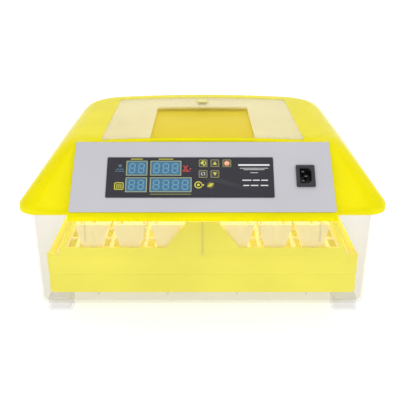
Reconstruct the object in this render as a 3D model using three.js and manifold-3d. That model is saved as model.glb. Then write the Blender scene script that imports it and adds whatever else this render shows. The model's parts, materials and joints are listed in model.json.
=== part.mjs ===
// Table-top forced-air egg incubator: a frosted tub with a yellow water tray, a tilting egg-rack
// turner, and a lift-off yellow lid that carries the window, the control panel, the fan and the heater.
// Millimetres. +X is the object's right seen from its front, +Y points to its back, +Z is up.
// The origin is at the centre of the footprint, on the surface that the feet stand on.
// The tub is drawn from the origin. Everything that stands in it or on it is drawn from a datum DATUM_Z above.
import * as THREE from "three";
import { mergeVertices } from "three/addons/utils/BufferGeometryUtils.js";
import Module from "manifold-3d";

const wasm = await Module();
wasm.setup();

// ---------------------------------------------------------------- driving dimensions
const GAP = 0.3; // between pieces that touch
const WALL = 2.5; // moulded walls

const DATUM_Z = 8;

const FOOT = { x: 203, width: 35, depth: 30, height: 15, frontY: -150, rearY: 172, corner: 7 };

const TUB = {
  floorZ: 15, rimZ: 157.7, taperTopZ: 153,
  halfBottom: 228.5, halfTop: 233.2,
  frontBottom: -171, frontTop: -179,
  rearBottom: 193, rearTop: 201,
  cornerBottom: 16, cornerTop: 20,
  lipZ: 142, lip: 1.2, ribs: [-150, -50, 50, 150], ribHalf: 1,
};

const TRAY = { half: 217, front: -167.3, rear: 189.3, corner: 8, z0: 22, z1: 78, wall: 2.2 };
const CHANNEL = { wall: 2, height: 16, x0: 24, x1: 196, y0: -140, y1: 160 };
const GRID = { half: 211, front: -161, rear: 183, corner: 8, z0: 65, thick: 3, slots: 12, slotWidth: 14 };

const FRAME = {
  half: 198, rail: 2.5, flange: 217, frontFlange: -171.3, rearFlange: 192, corner: 8, sideOpening: [-160, 184],
  z0: 78.3, flangeThick: 2.5, railTop: 93, postTop: 131,
  frontPlate: [-171.2, -168], skin: 0.6, rearPlate: [173.5, 176.5],
  pillarFoot: 51, pillarHead: 21, hornFoot: [190, 196], hornHead: [176, 181],
};

const RACK = {
  count: 6, pitch: 52, innerX: 48, pivotZ: 86,
  front: -164.7, rear: 164, cells: 8,
  bottom: -7, top: 38, halfBottom: 11, halfTop: 23, wall: 2, end: 2.5,
  divider: 1.6, dividerTop: 22, notchHalf: 7, trunnionR: 4, lever: 22, pinR: 3,
};
const LINK = { y0: 165.3, y1: 169.3, height: 9, overhang: 9 };
const CRANK = { y0: 170.2, y1: 172.9, hubR: 9, shaftR: 3 };
const MOTOR = { y0: 177.1, y1: 189, r: 24, z: 103.5, earX: 31, earHalf: 36, earZ: 106 };

const LID = {
  half: 250, front: -183, rear: 205.4, bottom: 145, skirtTop: 155, corner: 28, skirt: 2,
  top: 232, slopeRun: 60, frontRun: 56, rearRun: 35.4, crown: 6.5, crownHalf: 190,
  ledge: [150, 152.5], throat: { half: 228, front: -174, rear: 196, corner: 22 },
};
// The lid's section, as [inward run, height] from the skirt to the flat of the top deck.
const LID_PROFILE = [
  [0, 145], [0, 154], [0.8, 156.5], [49, 218], [53.5, 223], [58, 226.8], [63, 229.6], [69, 231.3], [77, 232],
];
const BAY = { half: 177, halfTop: 174.4, frontY: -205, lipTop: 156.25, topY: -127, topZ: 231.45 }; // the control housing
const WINDOW = { half: 139, y0: -122, y1: 139, flange: 7, thick: 2.5, ventY: 104, ventR: 6.5 };

// The control panel lies on the housing's sloping face. There, x runs right, t up the slope, n outwards.
const SLOPE = Math.atan2(BAY.topZ - BAY.lipTop, BAY.topY - BAY.frontY);
const SLOPE_LENGTH = Math.hypot(BAY.topZ - BAY.lipTop, BAY.topY - BAY.frontY);
const PANEL = { half: 175, halfTop: 172.4, t0: 1.2, t1: 107.1, n0: GAP, n1: 1.8, corner: 2 };
const BAY_OPENING = { half: 165, t0: 12, t1: 96 };
const OVERLAY = { x0: -128, x1: 95, t0: 21.8, t1: 82.5, n0: 2.1, n1: 2.7 };
const DISPLAYS = {
  display_humidity: [-102.2, -73.8, 54.6, 77.2],
  display_temperature: [-69.9, -28.5, 54.6, 77.2],
  display_days: [-102.2, -73.8, 29.8, 51.8],
  display_countdown: [-69.9, -14.6, 29.8, 51.8],
};
const KEY_SIZE = { width: 12, height: 12.6, n0: -2, n1: 3.4 };
const KEYS = {
  key_turn: [0.8, 73], key_up: [16.6, 73], key_power: [32.7, 73], key_set: [0.8, 56.6], key_down: [16.6, 56.6],
};
const INLET = { x: 137.5, t: 53.9, width: 25, height: 32.4, n0: 2.1, n1: 4.1,
  bodyWidth: 20.4, bodyHeight: 27.6, depth: 22, socketWidth: 17, socketHeight: 24.2, socketDepth: 15, chamfer: 4.5 };
const PIN = { width: 4, height: 2, spread: 7, earthOffset: 4 };
const BOARD = { x0: -134, x1: 104, t0: 18, t1: 88, n0: -9.6, n1: -8 };
const DISPLAY_BACK = -7.7;
const SUPPLY = { x0: 30, x1: 90, t0: 38, t1: 78, n0: -23.5, n1: -9.9 };

// The inner cover: a bar that closes the electronics bay, and a box that holds the fan.
const COVER = { half: 168, floorZ: 152.8, floorBack: -166, kneeY: -114, kneeZ: 205, topZ: 227, frontInset: 3 };
const FAN_BOX = { half: 73.2, y0: -116.5, y1: 93, z0: 184, z1: 231, slot: { y0: -70, y1: 30, z0: 212, z1: 221 } };
const GUARD = { z0: 181.2, z1: 183.7, slots: 16, slotIn: 13, slotOut: 38, slotWidth: 4 };
const FAN = { y: -20, half: 40, z0: 197, z1: 212, boreR: 37, hubR: 15, bladeR: 35.5, blades: 7, r0: 199.3, r1: 210 };
const HEATER = { r: 48, wire: 2.2, z: 190.5 };
const SCREW = { headR: 3, head: 2, shankR: 1.4, holeR: 1.8 };

// ---------------------------------------------------------------- materials
const plastic = (color, roughness, extra = {}) =>
  new THREE.MeshStandardMaterial({ color, roughness, metalness: 0, ...extra });
const material = {
  frosted: plastic(0xf0ece2, 0.35, { transparent: true, opacity: 0.5 }),
  lidYellow: plastic(0xf3ea10, 0.3, { transparent: true, opacity: 0.85 }),
  clear: plastic(0xf4f2dc, 0.12, { transparent: true, opacity: 0.3 }),
  yellow: plastic(0xf2df2a, 0.4),
  white: plastic(0xf3ead6, 0.45),
  panel: plastic(0xc6c8d0, 0.38),
  overlay: plastic(0x3c3c44, 0.3),
  display: plastic(0x4f9fd0, 0.15),
  key: plastic(0x46464c, 0.4),
  black: plastic(0x1c1c20, 0.45),
  board: plastic(0x1e6b3c, 0.5),
  ceramic: plastic(0xe8e2d4, 0.6),
  steel: new THREE.MeshStandardMaterial({ color: 0xb8bac0, roughness: 0.3, metalness: 1 }),
};

// ---------------------------------------------------------------- solids
function solid(geometry) {
  const bare = geometry.index ? geometry.toNonIndexed() : geometry.clone();
  bare.deleteAttribute("normal");
  bare.deleteAttribute("uv");
  const merged = mergeVertices(bare, 1e-4);
  return new wasm.Manifold(new wasm.Mesh({
    numProp: 3,
    vertProperties: merged.attributes.position.array,
    triVerts: new Uint32Array(merged.index.array),
  }));
}

function geometryOf(made) {
  const { numProp, vertProperties, triVerts } = made.getMesh();
  const count = vertProperties.length / numProp;
  const position = new Float32Array(count * 3);
  for (let i = 0; i < count; i++) {
    position.set(vertProperties.subarray(i * numProp, i * numProp + 3), i * 3);
  }
  const geometry = new THREE.BufferGeometry();
  geometry.setAttribute("position", new THREE.BufferAttribute(position, 3));
  geometry.setIndex(new THREE.BufferAttribute(triVerts, 1));
  return geometry;
}

const join = (pieces) => pieces.reduce((sum, piece) => sum.add(piece));
const cut = (body, tools) => tools.reduce((left, tool) => left.subtract(tool), body);
const closedShape = (points) => new THREE.Shape(points.map(([a, b]) => new THREE.Vector2(a, b)));

function box(x0, x1, y0, y1, z0, z1) {
  const made = new THREE.BoxGeometry(x1 - x0, y1 - y0, z1 - z0);
  return solid(made.translate((x0 + x1) / 2, (y0 + y1) / 2, (z0 + z1) / 2));
}

function extruded(shape, depth, curveSegments) {
  return new THREE.ExtrudeGeometry(shape, { depth, bevelEnabled: false, curveSegments });
}

// A prism of an XY outline between two heights.
const prismZ = (shape, z0, z1, segments = 4) => solid(extruded(shape, z1 - z0, segments).translate(0, 0, z0));

// A prism of a YZ outline between two values of X.
function prismX(points, x0, x1) {
  const made = extruded(closedShape(points), x1 - x0, 1);
  made.applyMatrix4(new THREE.Matrix4().makeBasis(
    new THREE.Vector3(0, 1, 0), new THREE.Vector3(0, 0, 1), new THREE.Vector3(1, 0, 0)));
  return solid(made.translate(x0, 0, 0));
}

// A prism of an XZ outline between two values of Y.
function prismY(shapeOrPoints, y0, y1, segments = 4) {
  const shape = Array.isArray(shapeOrPoints) ? closedShape(shapeOrPoints) : shapeOrPoints;
  const made = extruded(shape, y1 - y0, segments);
  return solid(made.rotateX(Math.PI / 2).translate(0, y1, 0));
}

// A cylinder along an axis, from one end to the other. The two centre values are its place across that axis.
function rod(axis, a, b, radius, from, to, segments = 12) {
  const made = new THREE.CylinderGeometry(radius, radius, to - from, segments);
  const middle = (from + to) / 2;
  if (axis === "y") return solid(made.translate(a, middle, b));
  if (axis === "z") return solid(made.rotateX(Math.PI / 2).translate(a, b, middle));
  return solid(made.rotateZ(Math.PI / 2).translate(middle, a, b));
}

function roundedRect(x0, x1, y0, y1, r) {
  const s = new THREE.Shape();
  s.moveTo(x0 + r, y0);
  s.lineTo(x1 - r, y0);
  s.absarc(x1 - r, y0 + r, r, -Math.PI / 2, 0);
  s.lineTo(x1, y1 - r);
  s.absarc(x1 - r, y1 - r, r, 0, Math.PI / 2);
  s.lineTo(x0 + r, y1);
  s.absarc(x0 + r, y1 - r, r, Math.PI / 2, Math.PI);
  s.lineTo(x0, y0 + r);
  s.absarc(x0 + r, y0 + r, r, Math.PI, 1.5 * Math.PI);
  return s;
}

// One ring of points round a rounded rectangle. Its front and rear can be divided, so that a crown can bend them.
const CORNER_STEPS = 4;
const SIDE_STEPS = 6;
function ring(half, front, rear, r, z, sideSteps = 1) {
  const points = [];
  const arc = (cx, cy, start) => {
    for (let i = 0; i <= CORNER_STEPS; i++) {
      const a = start + (i / CORNER_STEPS) * (Math.PI / 2);
      points.push([cx + r * Math.cos(a), cy + r * Math.sin(a), z]);
    }
  };
  const side = (from, to, y) => {
    for (let i = 1; i < sideSteps; i++) points.push([from + ((to - from) * i) / sideSteps, y, z]);
  };
  side(-half + r, half - r, front);
  arc(half - r, front + r, -Math.PI / 2);
  arc(half - r, rear - r, 0);
  side(half - r, -half + r, rear);
  arc(-half + r, rear - r, Math.PI / 2);
  arc(-half + r, front + r, Math.PI);
  return points;
}

// Triangles that fill a convex ring with thin strips across Y, as [a, b, c] indices that face up.
function stripCap(points) {
  const order = points.map((_, i) => i);
  const left = order.reduce((m, i) => (points[i][0] < points[m][0] - 1e-9 ? i : m), 0);
  const right = order.reduce((m, i) => (points[i][0] > points[m][0] + 1e-9 ? i : m), 0);
  const chain = (from, to, step) => {
    const found = [from];
    for (let i = from; i !== to; ) {
      i = (i + step + points.length) % points.length;
      found.push(i);
    }
    return found;
  };
  const front = chain(left, right, 1);
  const back = chain(left, right, -1);
  const triangles = [];
  let f = 0;
  let b = 0;
  while (f < front.length - 1 || b < back.length - 1) {
    const frontNext = f < front.length - 1 ? points[front[f + 1]][0] : Infinity;
    const backNext = b < back.length - 1 ? points[back[b + 1]][0] : Infinity;
    if (frontNext <= backNext) {
      if (back[b] !== front[f + 1]) triangles.push([front[f], front[f + 1], back[b]]);
      f++;
    } else {
      if (front[f] !== back[b + 1]) triangles.push([front[f], back[b + 1], back[b]]);
      b++;
    }
  }
  return triangles.filter(([p, q, s]) => p !== q && q !== s && p !== s);
}

// A closed solid through rings that go upwards.
function loft(rings) {
  const n = rings[0].length;
  const position = rings.flat().flat();
  const index = [];
  for (let k = 0; k < rings.length - 1; k++) {
    for (let i = 0; i < n; i++) {
      const a = k * n + i;
      const b = k * n + ((i + 1) % n);
      index.push(a, b, b + n, a, b + n, a + n);
    }
  }
  const last = (rings.length - 1) * n;
  for (const [a, b, c] of stripCap(rings[rings.length - 1])) index.push(a + last, b + last, c + last);
  for (const [a, b, c] of stripCap(rings[0])) index.push(a, c, b);
  const geometry = new THREE.BufferGeometry();
  geometry.setAttribute("position", new THREE.Float32BufferAttribute(position, 3));
  geometry.setIndex(index);
  return solid(geometry);
}

// ---------------------------------------------------------------- scene graph
const incubator = new THREE.Group();
const datum = new THREE.Group();
const panelGroup = new THREE.Group();
panelGroup.position.set(0, BAY.frontY, BAY.lipTop);
panelGroup.rotation.x = SLOPE;
panelGroup.updateMatrix();
datum.position.z = DATUM_Z;
datum.add(panelGroup);
incubator.add(datum);

function add(name, made, look, parent = datum) {
  const mesh = new THREE.Mesh(geometryOf(made), look);
  mesh.name = name;
  parent.add(mesh);
  return mesh;
}
const onPanel = (made) => made.transform(panelGroup.matrix.toArray());

// ---------------------------------------------------------------- base tub
function tubSection(z, grow) {
  const s = (z - TUB.floorZ) / (TUB.taperTopZ - TUB.floorZ);
  const mix = (a, b) => a + (b - a) * s;
  return ring(
    mix(TUB.halfBottom, TUB.halfTop) + grow,
    mix(TUB.frontBottom, TUB.frontTop) - grow,
    mix(TUB.rearBottom, TUB.rearTop) + grow,
    mix(TUB.cornerBottom, TUB.cornerTop) + grow,
    z,
  );
}

function baseTub() {
  const outside = [[15, -3], [16, -1.2], [18, -0.2], [20, 0],
    [TUB.lipZ - 1, 0], [TUB.lipZ, TUB.lip], [TUB.rimZ, TUB.lip]];
  const inside = [[18, -5.4], [19, -3.8], [21, -2.8], [24, -WALL], [TUB.rimZ + 1, -WALL]];
  const feet = [];
  const trayBottom = DATUM_Z + TRAY.z0 - GAP;
  const ribs = TUB.ribs.map((x) => box(x - TUB.ribHalf, x + TUB.ribHalf, -150, 172, 17, trayBottom));
  for (const x of [-FOOT.x, FOOT.x]) {
    for (const y of [FOOT.frontY, FOOT.rearY]) {
      const outline = roundedRect(x - FOOT.width / 2, x + FOOT.width / 2, y - FOOT.depth / 2, y + FOOT.depth / 2,
        FOOT.corner);
      feet.push(prismZ(outline, 0, FOOT.height + 1, 4));
    }
  }
  const shell = loft(outside.map(([z, g]) => tubSection(z, g)))
    .subtract(loft(inside.map(([z, g]) => tubSection(z, g))));
  return join([shell, ...feet, ...ribs]);
}

// ---------------------------------------------------------------- water tray and floor grid
function waterTray() {
  const outline = (inset) => roundedRect(-TRAY.half + inset, TRAY.half - inset, TRAY.front + inset,
    TRAY.rear - inset, TRAY.corner - inset);
  const pan = prismZ(outline(0), TRAY.z0, TRAY.z1)
    .subtract(prismZ(outline(TRAY.wall), TRAY.z0 + TRAY.wall, TRAY.z1 + 1));
  const floor = TRAY.z0 + TRAY.wall - 0.2;
  const channels = [-1, 1].map((side) => {
    const [x0, x1] = [side * CHANNEL.x0, side * CHANNEL.x1].sort((a, b) => a - b);
    const w = CHANNEL.wall;
    const block = box(x0, x1, CHANNEL.y0, CHANNEL.y1, floor, floor + CHANNEL.height);
    const trench = box(x0 + w, x1 - w, CHANNEL.y0 + w, CHANNEL.y1 - w, floor - 0.1, floor + CHANNEL.height + 1);
    return block.subtract(trench);
  });
  const posts = [];
  for (const x of [-205, 205]) {
    for (const y of [-145, 172]) posts.push(rod("z", x, y, 4, floor, GRID.z0 - GAP, 6));
  }
  return join([pan, ...channels, ...posts]);
}

function floorGrid() {
  const plate = prismZ(roundedRect(-GRID.half, GRID.half, GRID.front, GRID.rear, GRID.corner), GRID.z0,
    GRID.z0 + GRID.thick, 4);
  const pitch = (2 * GRID.half - 20) / GRID.slots;
  const slots = [];
  for (let i = 0; i < GRID.slots; i++) {
    const x = -GRID.half + 10 + pitch * (i + 0.5);
    for (const [y0, y1] of [[-150, 0], [22, 172]]) {
      slots.push(box(x - GRID.slotWidth / 2, x + GRID.slotWidth / 2, y0, y1, GRID.z0 - 1, GRID.z0 + GRID.thick + 1));
    }
  }
  return cut(plate, slots);
}

// ---------------------------------------------------------------- egg turner
const rackX = [-2.5, -1.5, -0.5, 0.5, 1.5, 2.5].map(
  (k) => Math.sign(k) * (RACK.innerX + RACK.pitch * (Math.abs(k) - 0.5)));

// One end plate of the frame: a low rail with pivot notches, a pillar in the middle and a horn at each side.
// The notches are blind, behind a skin, or go right through.
function endPlate([y0, y1], skin = -1) {
  const { railTop, postTop, pillarFoot, pillarHead, hornFoot, hornHead, half, z0 } = FRAME;
  const rail = prismY([[-half, z0], [half, z0], [half, railTop], [-half, railTop]], y0, y1);
  const pillar = prismY([[-pillarFoot, railTop - 1], [pillarFoot, railTop - 1], [pillarHead, postTop],
    [-pillarHead, postTop]], y0, y1);
  const horns = [-1, 1].map((side) => {
    const points = [[side * hornFoot[0], railTop - 1], [side * hornFoot[1], railTop - 1],
      [side * hornHead[1], postTop], [side * hornHead[0], postTop]];
    return prismY(side > 0 ? points : points.reverse(), y0, y1);
  });
  const notches = rackX.map((x) => {
    const r = RACK.trunnionR + GAP;
    return rod("y", x, RACK.pivotZ, r, y0 + skin, y1 + 1)
      .add(box(x - r, x + r, y0 + skin, y1 + 1, RACK.pivotZ, railTop + 1));
  });
  return cut(join([rail, pillar, ...horns]), notches);
}

function turnerFrame() {
  const flangeOutline = roundedRect(-FRAME.flange, FRAME.flange, FRAME.frontFlange, FRAME.rearFlange, FRAME.corner);
  const innerHalf = FRAME.half - FRAME.rail;
  const flange = prismZ(flangeOutline, FRAME.z0, FRAME.z0 + FRAME.flangeThick)
    .subtract(box(-innerHalf, innerHalf, FRAME.frontPlate[1], FRAME.rearPlate[0], 70, 100))
    .subtract(box(FRAME.half - 0.5, 230, ...FRAME.sideOpening, 70, 100))
    .subtract(box(-230, -FRAME.half + 0.5, ...FRAME.sideOpening, 70, 100));
  const rails = [-1, 1].map((side) => {
    const [x0, x1] = [side * innerHalf, side * FRAME.half].sort((a, b) => a - b);
    return box(x0, x1, FRAME.frontPlate[0], FRAME.rearPlate[1], FRAME.z0, FRAME.railTop);
  });
  const shaftHole = rod("y", 0, RACK.pivotZ, 4.6, FRAME.rearPlate[0] - 1, FRAME.rearPlate[1] + 1);
  const motorNotch = box(-MOTOR.r - 2, MOTOR.r + 2, FRAME.rearPlate[1], FRAME.rearFlange + 1, 70, 90);
  const screwHoles = [-1, 1].map((side) =>
    rod("y", side * MOTOR.earX, MOTOR.earZ, SCREW.holeR, FRAME.rearPlate[0] - 1, FRAME.rearPlate[1] + 1, 10));
  return cut(join([flange, ...rails, endPlate(FRAME.frontPlate, FRAME.skin), endPlate(FRAME.rearPlate)]),
    [shaftHole, motorNotch, ...screwHoles]);
}

// An egg rack, drawn about its own pivot axis: a tapered trough with notched dividers between the eggs.
function eggRack() {
  const { front, rear, bottom, top, halfBottom, halfTop, wall, end, cells, divider, dividerTop, notchHalf } = RACK;
  const outline = (inset, lift) => [[-halfBottom + inset, bottom + inset], [halfBottom - inset, bottom + inset],
    [halfTop - inset + lift / 3, top + lift], [-halfTop + inset - lift / 3, top + lift]];
  const trough = prismY(outline(0, 0), front, rear).subtract(prismY(outline(wall, 1), front + end, rear - end));
  const dividers = [];
  const pitch = (rear - front - end) / cells;
  for (let i = 1; i < cells; i++) {
    const y = front + end / 2 + pitch * i;
    const plate = prismY(outline(0.5, 0), y - divider / 2, y + divider / 2);
    const notch = box(-notchHalf, notchHalf, y - 2, y + 2, bottom + wall, top + 1);
    dividers.push(cut(plate, [notch, box(-30, 30, y - 2, y + 2, dividerTop, top + 1)]));
  }
  const trunnions = [rod("y", 0, 0, RACK.trunnionR, FRAME.frontPlate[0] + FRAME.skin + GAP, front + 1),
    rod("y", 0, 0, RACK.trunnionR, rear - 1, FRAME.rearPlate[1] + 0.4)];
  const leverPin = rod("y", 0, RACK.lever, RACK.pinR, rear - 1, LINK.y1 + 0.5);
  const grip = box(-2.2, 2.2, front - 1.2, front + 0.5, 8, top);
  return join([trough, ...dividers, ...trunnions, leverPin, grip]);
}

function linkBar() {
  const z = RACK.pivotZ + RACK.lever;
  const reach = rackX[5] + LINK.overhang;
  const bar = prismY(roundedRect(-reach, reach, z - LINK.height / 2, z + LINK.height / 2, 4), LINK.y0, LINK.y1, 4);
  return cut(bar, [...rackX, 0].map((x) => rod("y", x, z, RACK.pinR + 0.4, LINK.y0 - 1, LINK.y1 + 1)));
}

function turnerCrank() {
  const z = RACK.pivotZ;
  const arm = join([rod("y", 0, z, CRANK.hubR, CRANK.y0, CRANK.y1, 20),
    rod("y", 0, z + RACK.lever, 6, CRANK.y0, CRANK.y1, 16), box(-5.5, 5.5, CRANK.y0, CRANK.y1, z, z + RACK.lever)]);
  const pin = rod("y", 0, z + RACK.lever, RACK.pinR, LINK.y0 - 0.8, CRANK.y0 + 1);
  const bore = rod("y", 0, z, CRANK.shaftR + GAP, CRANK.y0 - 1, CRANK.y1 + 1);
  return arm.subtract(bore).add(pin);
}

function turnerMotor() {
  const body = rod("y", 0, MOTOR.z, MOTOR.r, MOTOR.y0, MOTOR.y1, 24);
  const ears = box(-MOTOR.earHalf, MOTOR.earHalf, MOTOR.y0, MOTOR.y0 + 1.2, MOTOR.earZ - 5, MOTOR.earZ + 5);
  const holes = [-1, 1].map((side) =>
    rod("y", side * MOTOR.earX, MOTOR.earZ, SCREW.holeR, MOTOR.y0 - 1, MOTOR.y0 + 3, 10));
  const bushSocket = rod("y", 0, RACK.pivotZ, CRANK.shaftR + GAP, MOTOR.y0 - 1, MOTOR.y0 + 6);
  return cut(body.add(ears), [...holes, bushSocket]);
}

function screwAlongY(x, z, headY, length) {
  return rod("y", x, z, SCREW.headR, headY, headY + SCREW.head, 12)
    .add(rod("y", x, z, SCREW.shankR, headY - length, headY + 0.5, 10));
}

function screwUp(x, y, headZ, length) {
  return rod("z", x, y, SCREW.headR, headZ - SCREW.head, headZ, 12)
    .add(rod("z", x, y, SCREW.shankR, headZ - 0.5, headZ + length, 10));
}

// ---------------------------------------------------------------- lid
const crownAt = (x) => LID.crown * (1 - Math.min(1, (x / LID.crownHalf) ** 2));

// A section of the lid. Towards the top, the ring is bent up in the middle by the deck's crown.
function lidSection(run, z, corner) {
  const share = Math.min(1, Math.max(0, (z - 205) / (LID.top - 205 - 3)));
  const bend = share * share * (3 - 2 * share);
  return ring(LID.half - run, LID.front + (run * LID.frontRun) / LID.slopeRun,
    LID.rear - (run * LID.rearRun) / LID.slopeRun, corner, z, SIDE_STEPS)
    .map(([x, y, height]) => [x, y, height + bend * crownAt(x)]);
}

const lidOutside = () => loft(LID_PROFILE.map(([run, z]) => lidSection(run, z, LID.corner + run / 8)));

// The space inside the lid, above its ledge.
function lidInside() {
  const slant = 3.2;
  const upper = [[49, 217.6], [58, 225.6], [69, 228.8], [77, 229.1]];
  const rows = [[0.8, LID.ledge[1]], [2.5, 156.5], ...upper];
  return loft(rows.map(([run, z]) => lidSection(run + slant, z, LID.corner - 1.5 + run / 8)));
}

// The housing's width shrinks a little towards its top.
const bayTaper = (inset) => {
  const [low, high] = [BAY.half - inset, BAY.halfTop - inset];
  return prismY([[-low, LID.bottom - 5], [low, LID.bottom - 5], [low, BAY.lipTop], [high, BAY.topZ], [high, 300],
    [-high, 300], [-high, BAY.topZ], [-low, BAY.lipTop]], BAY.frontY - 5, -80);
};

const bayOutline = (inset) => [[BAY.frontY + inset, LID.bottom - 1], [BAY.frontY + inset, BAY.lipTop - inset / 3],
  [BAY.topY + inset / 3, BAY.topZ - inset * 0.9], [-100, BAY.topZ - inset * 0.9], [-100, LID.bottom - 1]].reverse();

function lidShell() {
  const { half, front, rear, corner, skirt, ledge, throat, bottom } = LID;
  const above = box(-260, 260, -260, 260, bottom, 300);
  const bay = prismX(bayOutline(0), -BAY.half, BAY.half).intersect(above).intersect(bayTaper(0));
  const overSlope = onPanel(box(-BAY.half, BAY.half, -10, SLOPE_LENGTH, 0, 60)).intersect(bayTaper(0));
  const outside = lidOutside().subtract(overSlope).add(bay);
  const skirtHole = roundedRect(-half + skirt, half - skirt, front + skirt, rear - skirt, corner - skirt);
  const bayRecess = box(-BAY.half + WALL, BAY.half - WALL, BAY.frontY + WALL, -150, bottom - 1, ledge[0]);
  const recess = prismZ(skirtHole, bottom - 1, ledge[0]).add(bayRecess);
  const throatOutline = roundedRect(-throat.half, throat.half, throat.front, throat.rear, throat.corner);
  const throatHole = prismZ(throatOutline, ledge[0] - 1, ledge[1] + 1);
  const bayInside = prismX(bayOutline(WALL), -BAY.half + WALL, BAY.half - WALL)
    .intersect(box(-260, 260, -260, 260, ledge[1], 300)).intersect(bayTaper(WALL));
  const panelHole = onPanel(box(-BAY_OPENING.half, BAY_OPENING.half, BAY_OPENING.t0, BAY_OPENING.t1, -8, 8));
  const windowHole = box(-WINDOW.half - GAP, WINDOW.half + GAP, WINDOW.y0 - GAP, WINDOW.y1 + GAP, 215, 250);
  const screwHoles = coverScrewX.map((x) => rod("z", x, COVER_SCREW_Y, SCREW.holeR, ledge[0] - 1, ledge[1] + 1, 10));
  const rib = (grow) => roundedRect(-throat.half - grow, throat.half + grow, throat.front - grow,
    throat.rear + grow, throat.corner + grow);
  const locator = prismZ(rib(1.5), bottom + 0.5, ledge[0] + 1).subtract(prismZ(rib(0), bottom, ledge[0] + 2));
  return cut(outside, [recess, lidInside(), bayInside, throatHole, panelHole, windowHole, ...screwHoles]).add(locator);
}

const COVER_SCREW_Y = -190;
const coverScrewX = [-150, -50, 50, 150];

function lidWindow() {
  const steps = 12;
  const strip = (half, lower, upper) => {
    const edge = (offset, direction) => Array.from({ length: steps + 1 }, (_, i) => {
      const x = direction * (-half + (2 * half * i) / steps);
      return [x, LID.top + crownAt(x) + offset];
    });
    return [...edge(lower, 1), ...edge(upper, -1)];
  };
  const { half, y0, y1, flange, thick } = WINDOW;
  const pane = prismY(strip(half, -thick - 1.2, 0), y0, y1);
  const glue = prismY(strip(half + flange, -2 * thick - 1, -thick - 1), y0 + 8, y1 + flange);
  const vent = rod("z", 0, WINDOW.ventY, WINDOW.ventR, 220, 245);
  return pane.add(glue).subtract(vent);
}

function ventCap() {
  const seat = LID.top + LID.crown + GAP;
  const cap = rod("z", 0, WINDOW.ventY, 11, seat, seat + 1.8, 16);
  const grip = box(-9, 9, WINDOW.ventY - 1.5, WINDOW.ventY + 1.5, seat + 1, seat + 3);
  const stub = rod("z", 0, WINDOW.ventY, WINDOW.ventR - 0.5, seat - 7, seat + 1);
  return join([cap, grip, stub]);
}

// ---------------------------------------------------------------- control panel
const keyBox = ([x, t], grow, n0, n1) =>
  box(x - KEY_SIZE.width / 2 - grow, x + KEY_SIZE.width / 2 + grow, t - KEY_SIZE.height / 2 - grow,
    t + KEY_SIZE.height / 2 + grow, n0, n1);

function panelCutouts(n0, n1) {
  const displays = Object.values(DISPLAYS).map(([x0, x1, t0, t1]) =>
    box(x0 - GAP, x1 + GAP, t0 - GAP, t1 + GAP, n0, n1));
  return [...displays, ...Object.values(KEYS).map((place) => keyBox(place, GAP, n0, n1))];
}

function controlPanel() {
  const { half, halfTop, t0, t1, n0, n1, corner } = PANEL;
  const sides = closedShape([[-half, t0 - 1], [half, t0 - 1], [half, t0], [halfTop, t1], [halfTop, t1 + 1],
    [-halfTop, t1 + 1], [-halfTop, t1], [-half, t0]]);
  const plate = prismZ(roundedRect(-half, half, t0, t1, corner), n0, n1, 3).intersect(prismZ(sides, n0 - 1, n1 + 1));
  const { x, t, bodyWidth, bodyHeight } = INLET;
  const inletHole = box(x - bodyWidth / 2 - GAP, x + bodyWidth / 2 + GAP, t - bodyHeight / 2 - GAP,
    t + bodyHeight / 2 + GAP, -1, 3);
  return cut(plate, [inletHole, ...panelCutouts(-1, 3)]);
}

const displayOverlay = () =>
  cut(prismZ(roundedRect(OVERLAY.x0, OVERLAY.x1, OVERLAY.t0, OVERLAY.t1, 1.5), OVERLAY.n0, OVERLAY.n1, 3),
    panelCutouts(1, 4));

// The appliance inlet: a bezel, a body behind the panel and a socket whose two right-hand corners are cut off.
function inletSocket() {
  const { x, t, width, height, n0, n1, bodyWidth, bodyHeight, depth, socketWidth, socketHeight, chamfer } = INLET;
  const bezel = prismZ(roundedRect(x - width / 2, x + width / 2, t - height / 2, t + height / 2, 1.5), n0, n1, 3);
  const body = box(x - bodyWidth / 2, x + bodyWidth / 2, t - bodyHeight / 2, t + bodyHeight / 2, -depth, n0 + 0.5);
  const [w, h] = [socketWidth / 2, socketHeight / 2];
  const mouth = closedShape([[x - w, t - h], [x + w - chamfer, t - h], [x + w, t - h + chamfer],
    [x + w, t + h - chamfer], [x + w - chamfer, t + h], [x - w, t + h]]);
  return bezel.add(body).subtract(prismZ(mouth, n1 - INLET.socketDepth, n1 + 1));
}

function inletPin(x, t) {
  const seat = INLET.n1 - INLET.socketDepth + GAP;
  return box(x - PIN.width / 2, x + PIN.width / 2, t - PIN.height / 2, t + PIN.height / 2, seat, INLET.n1 - 2);
}

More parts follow.
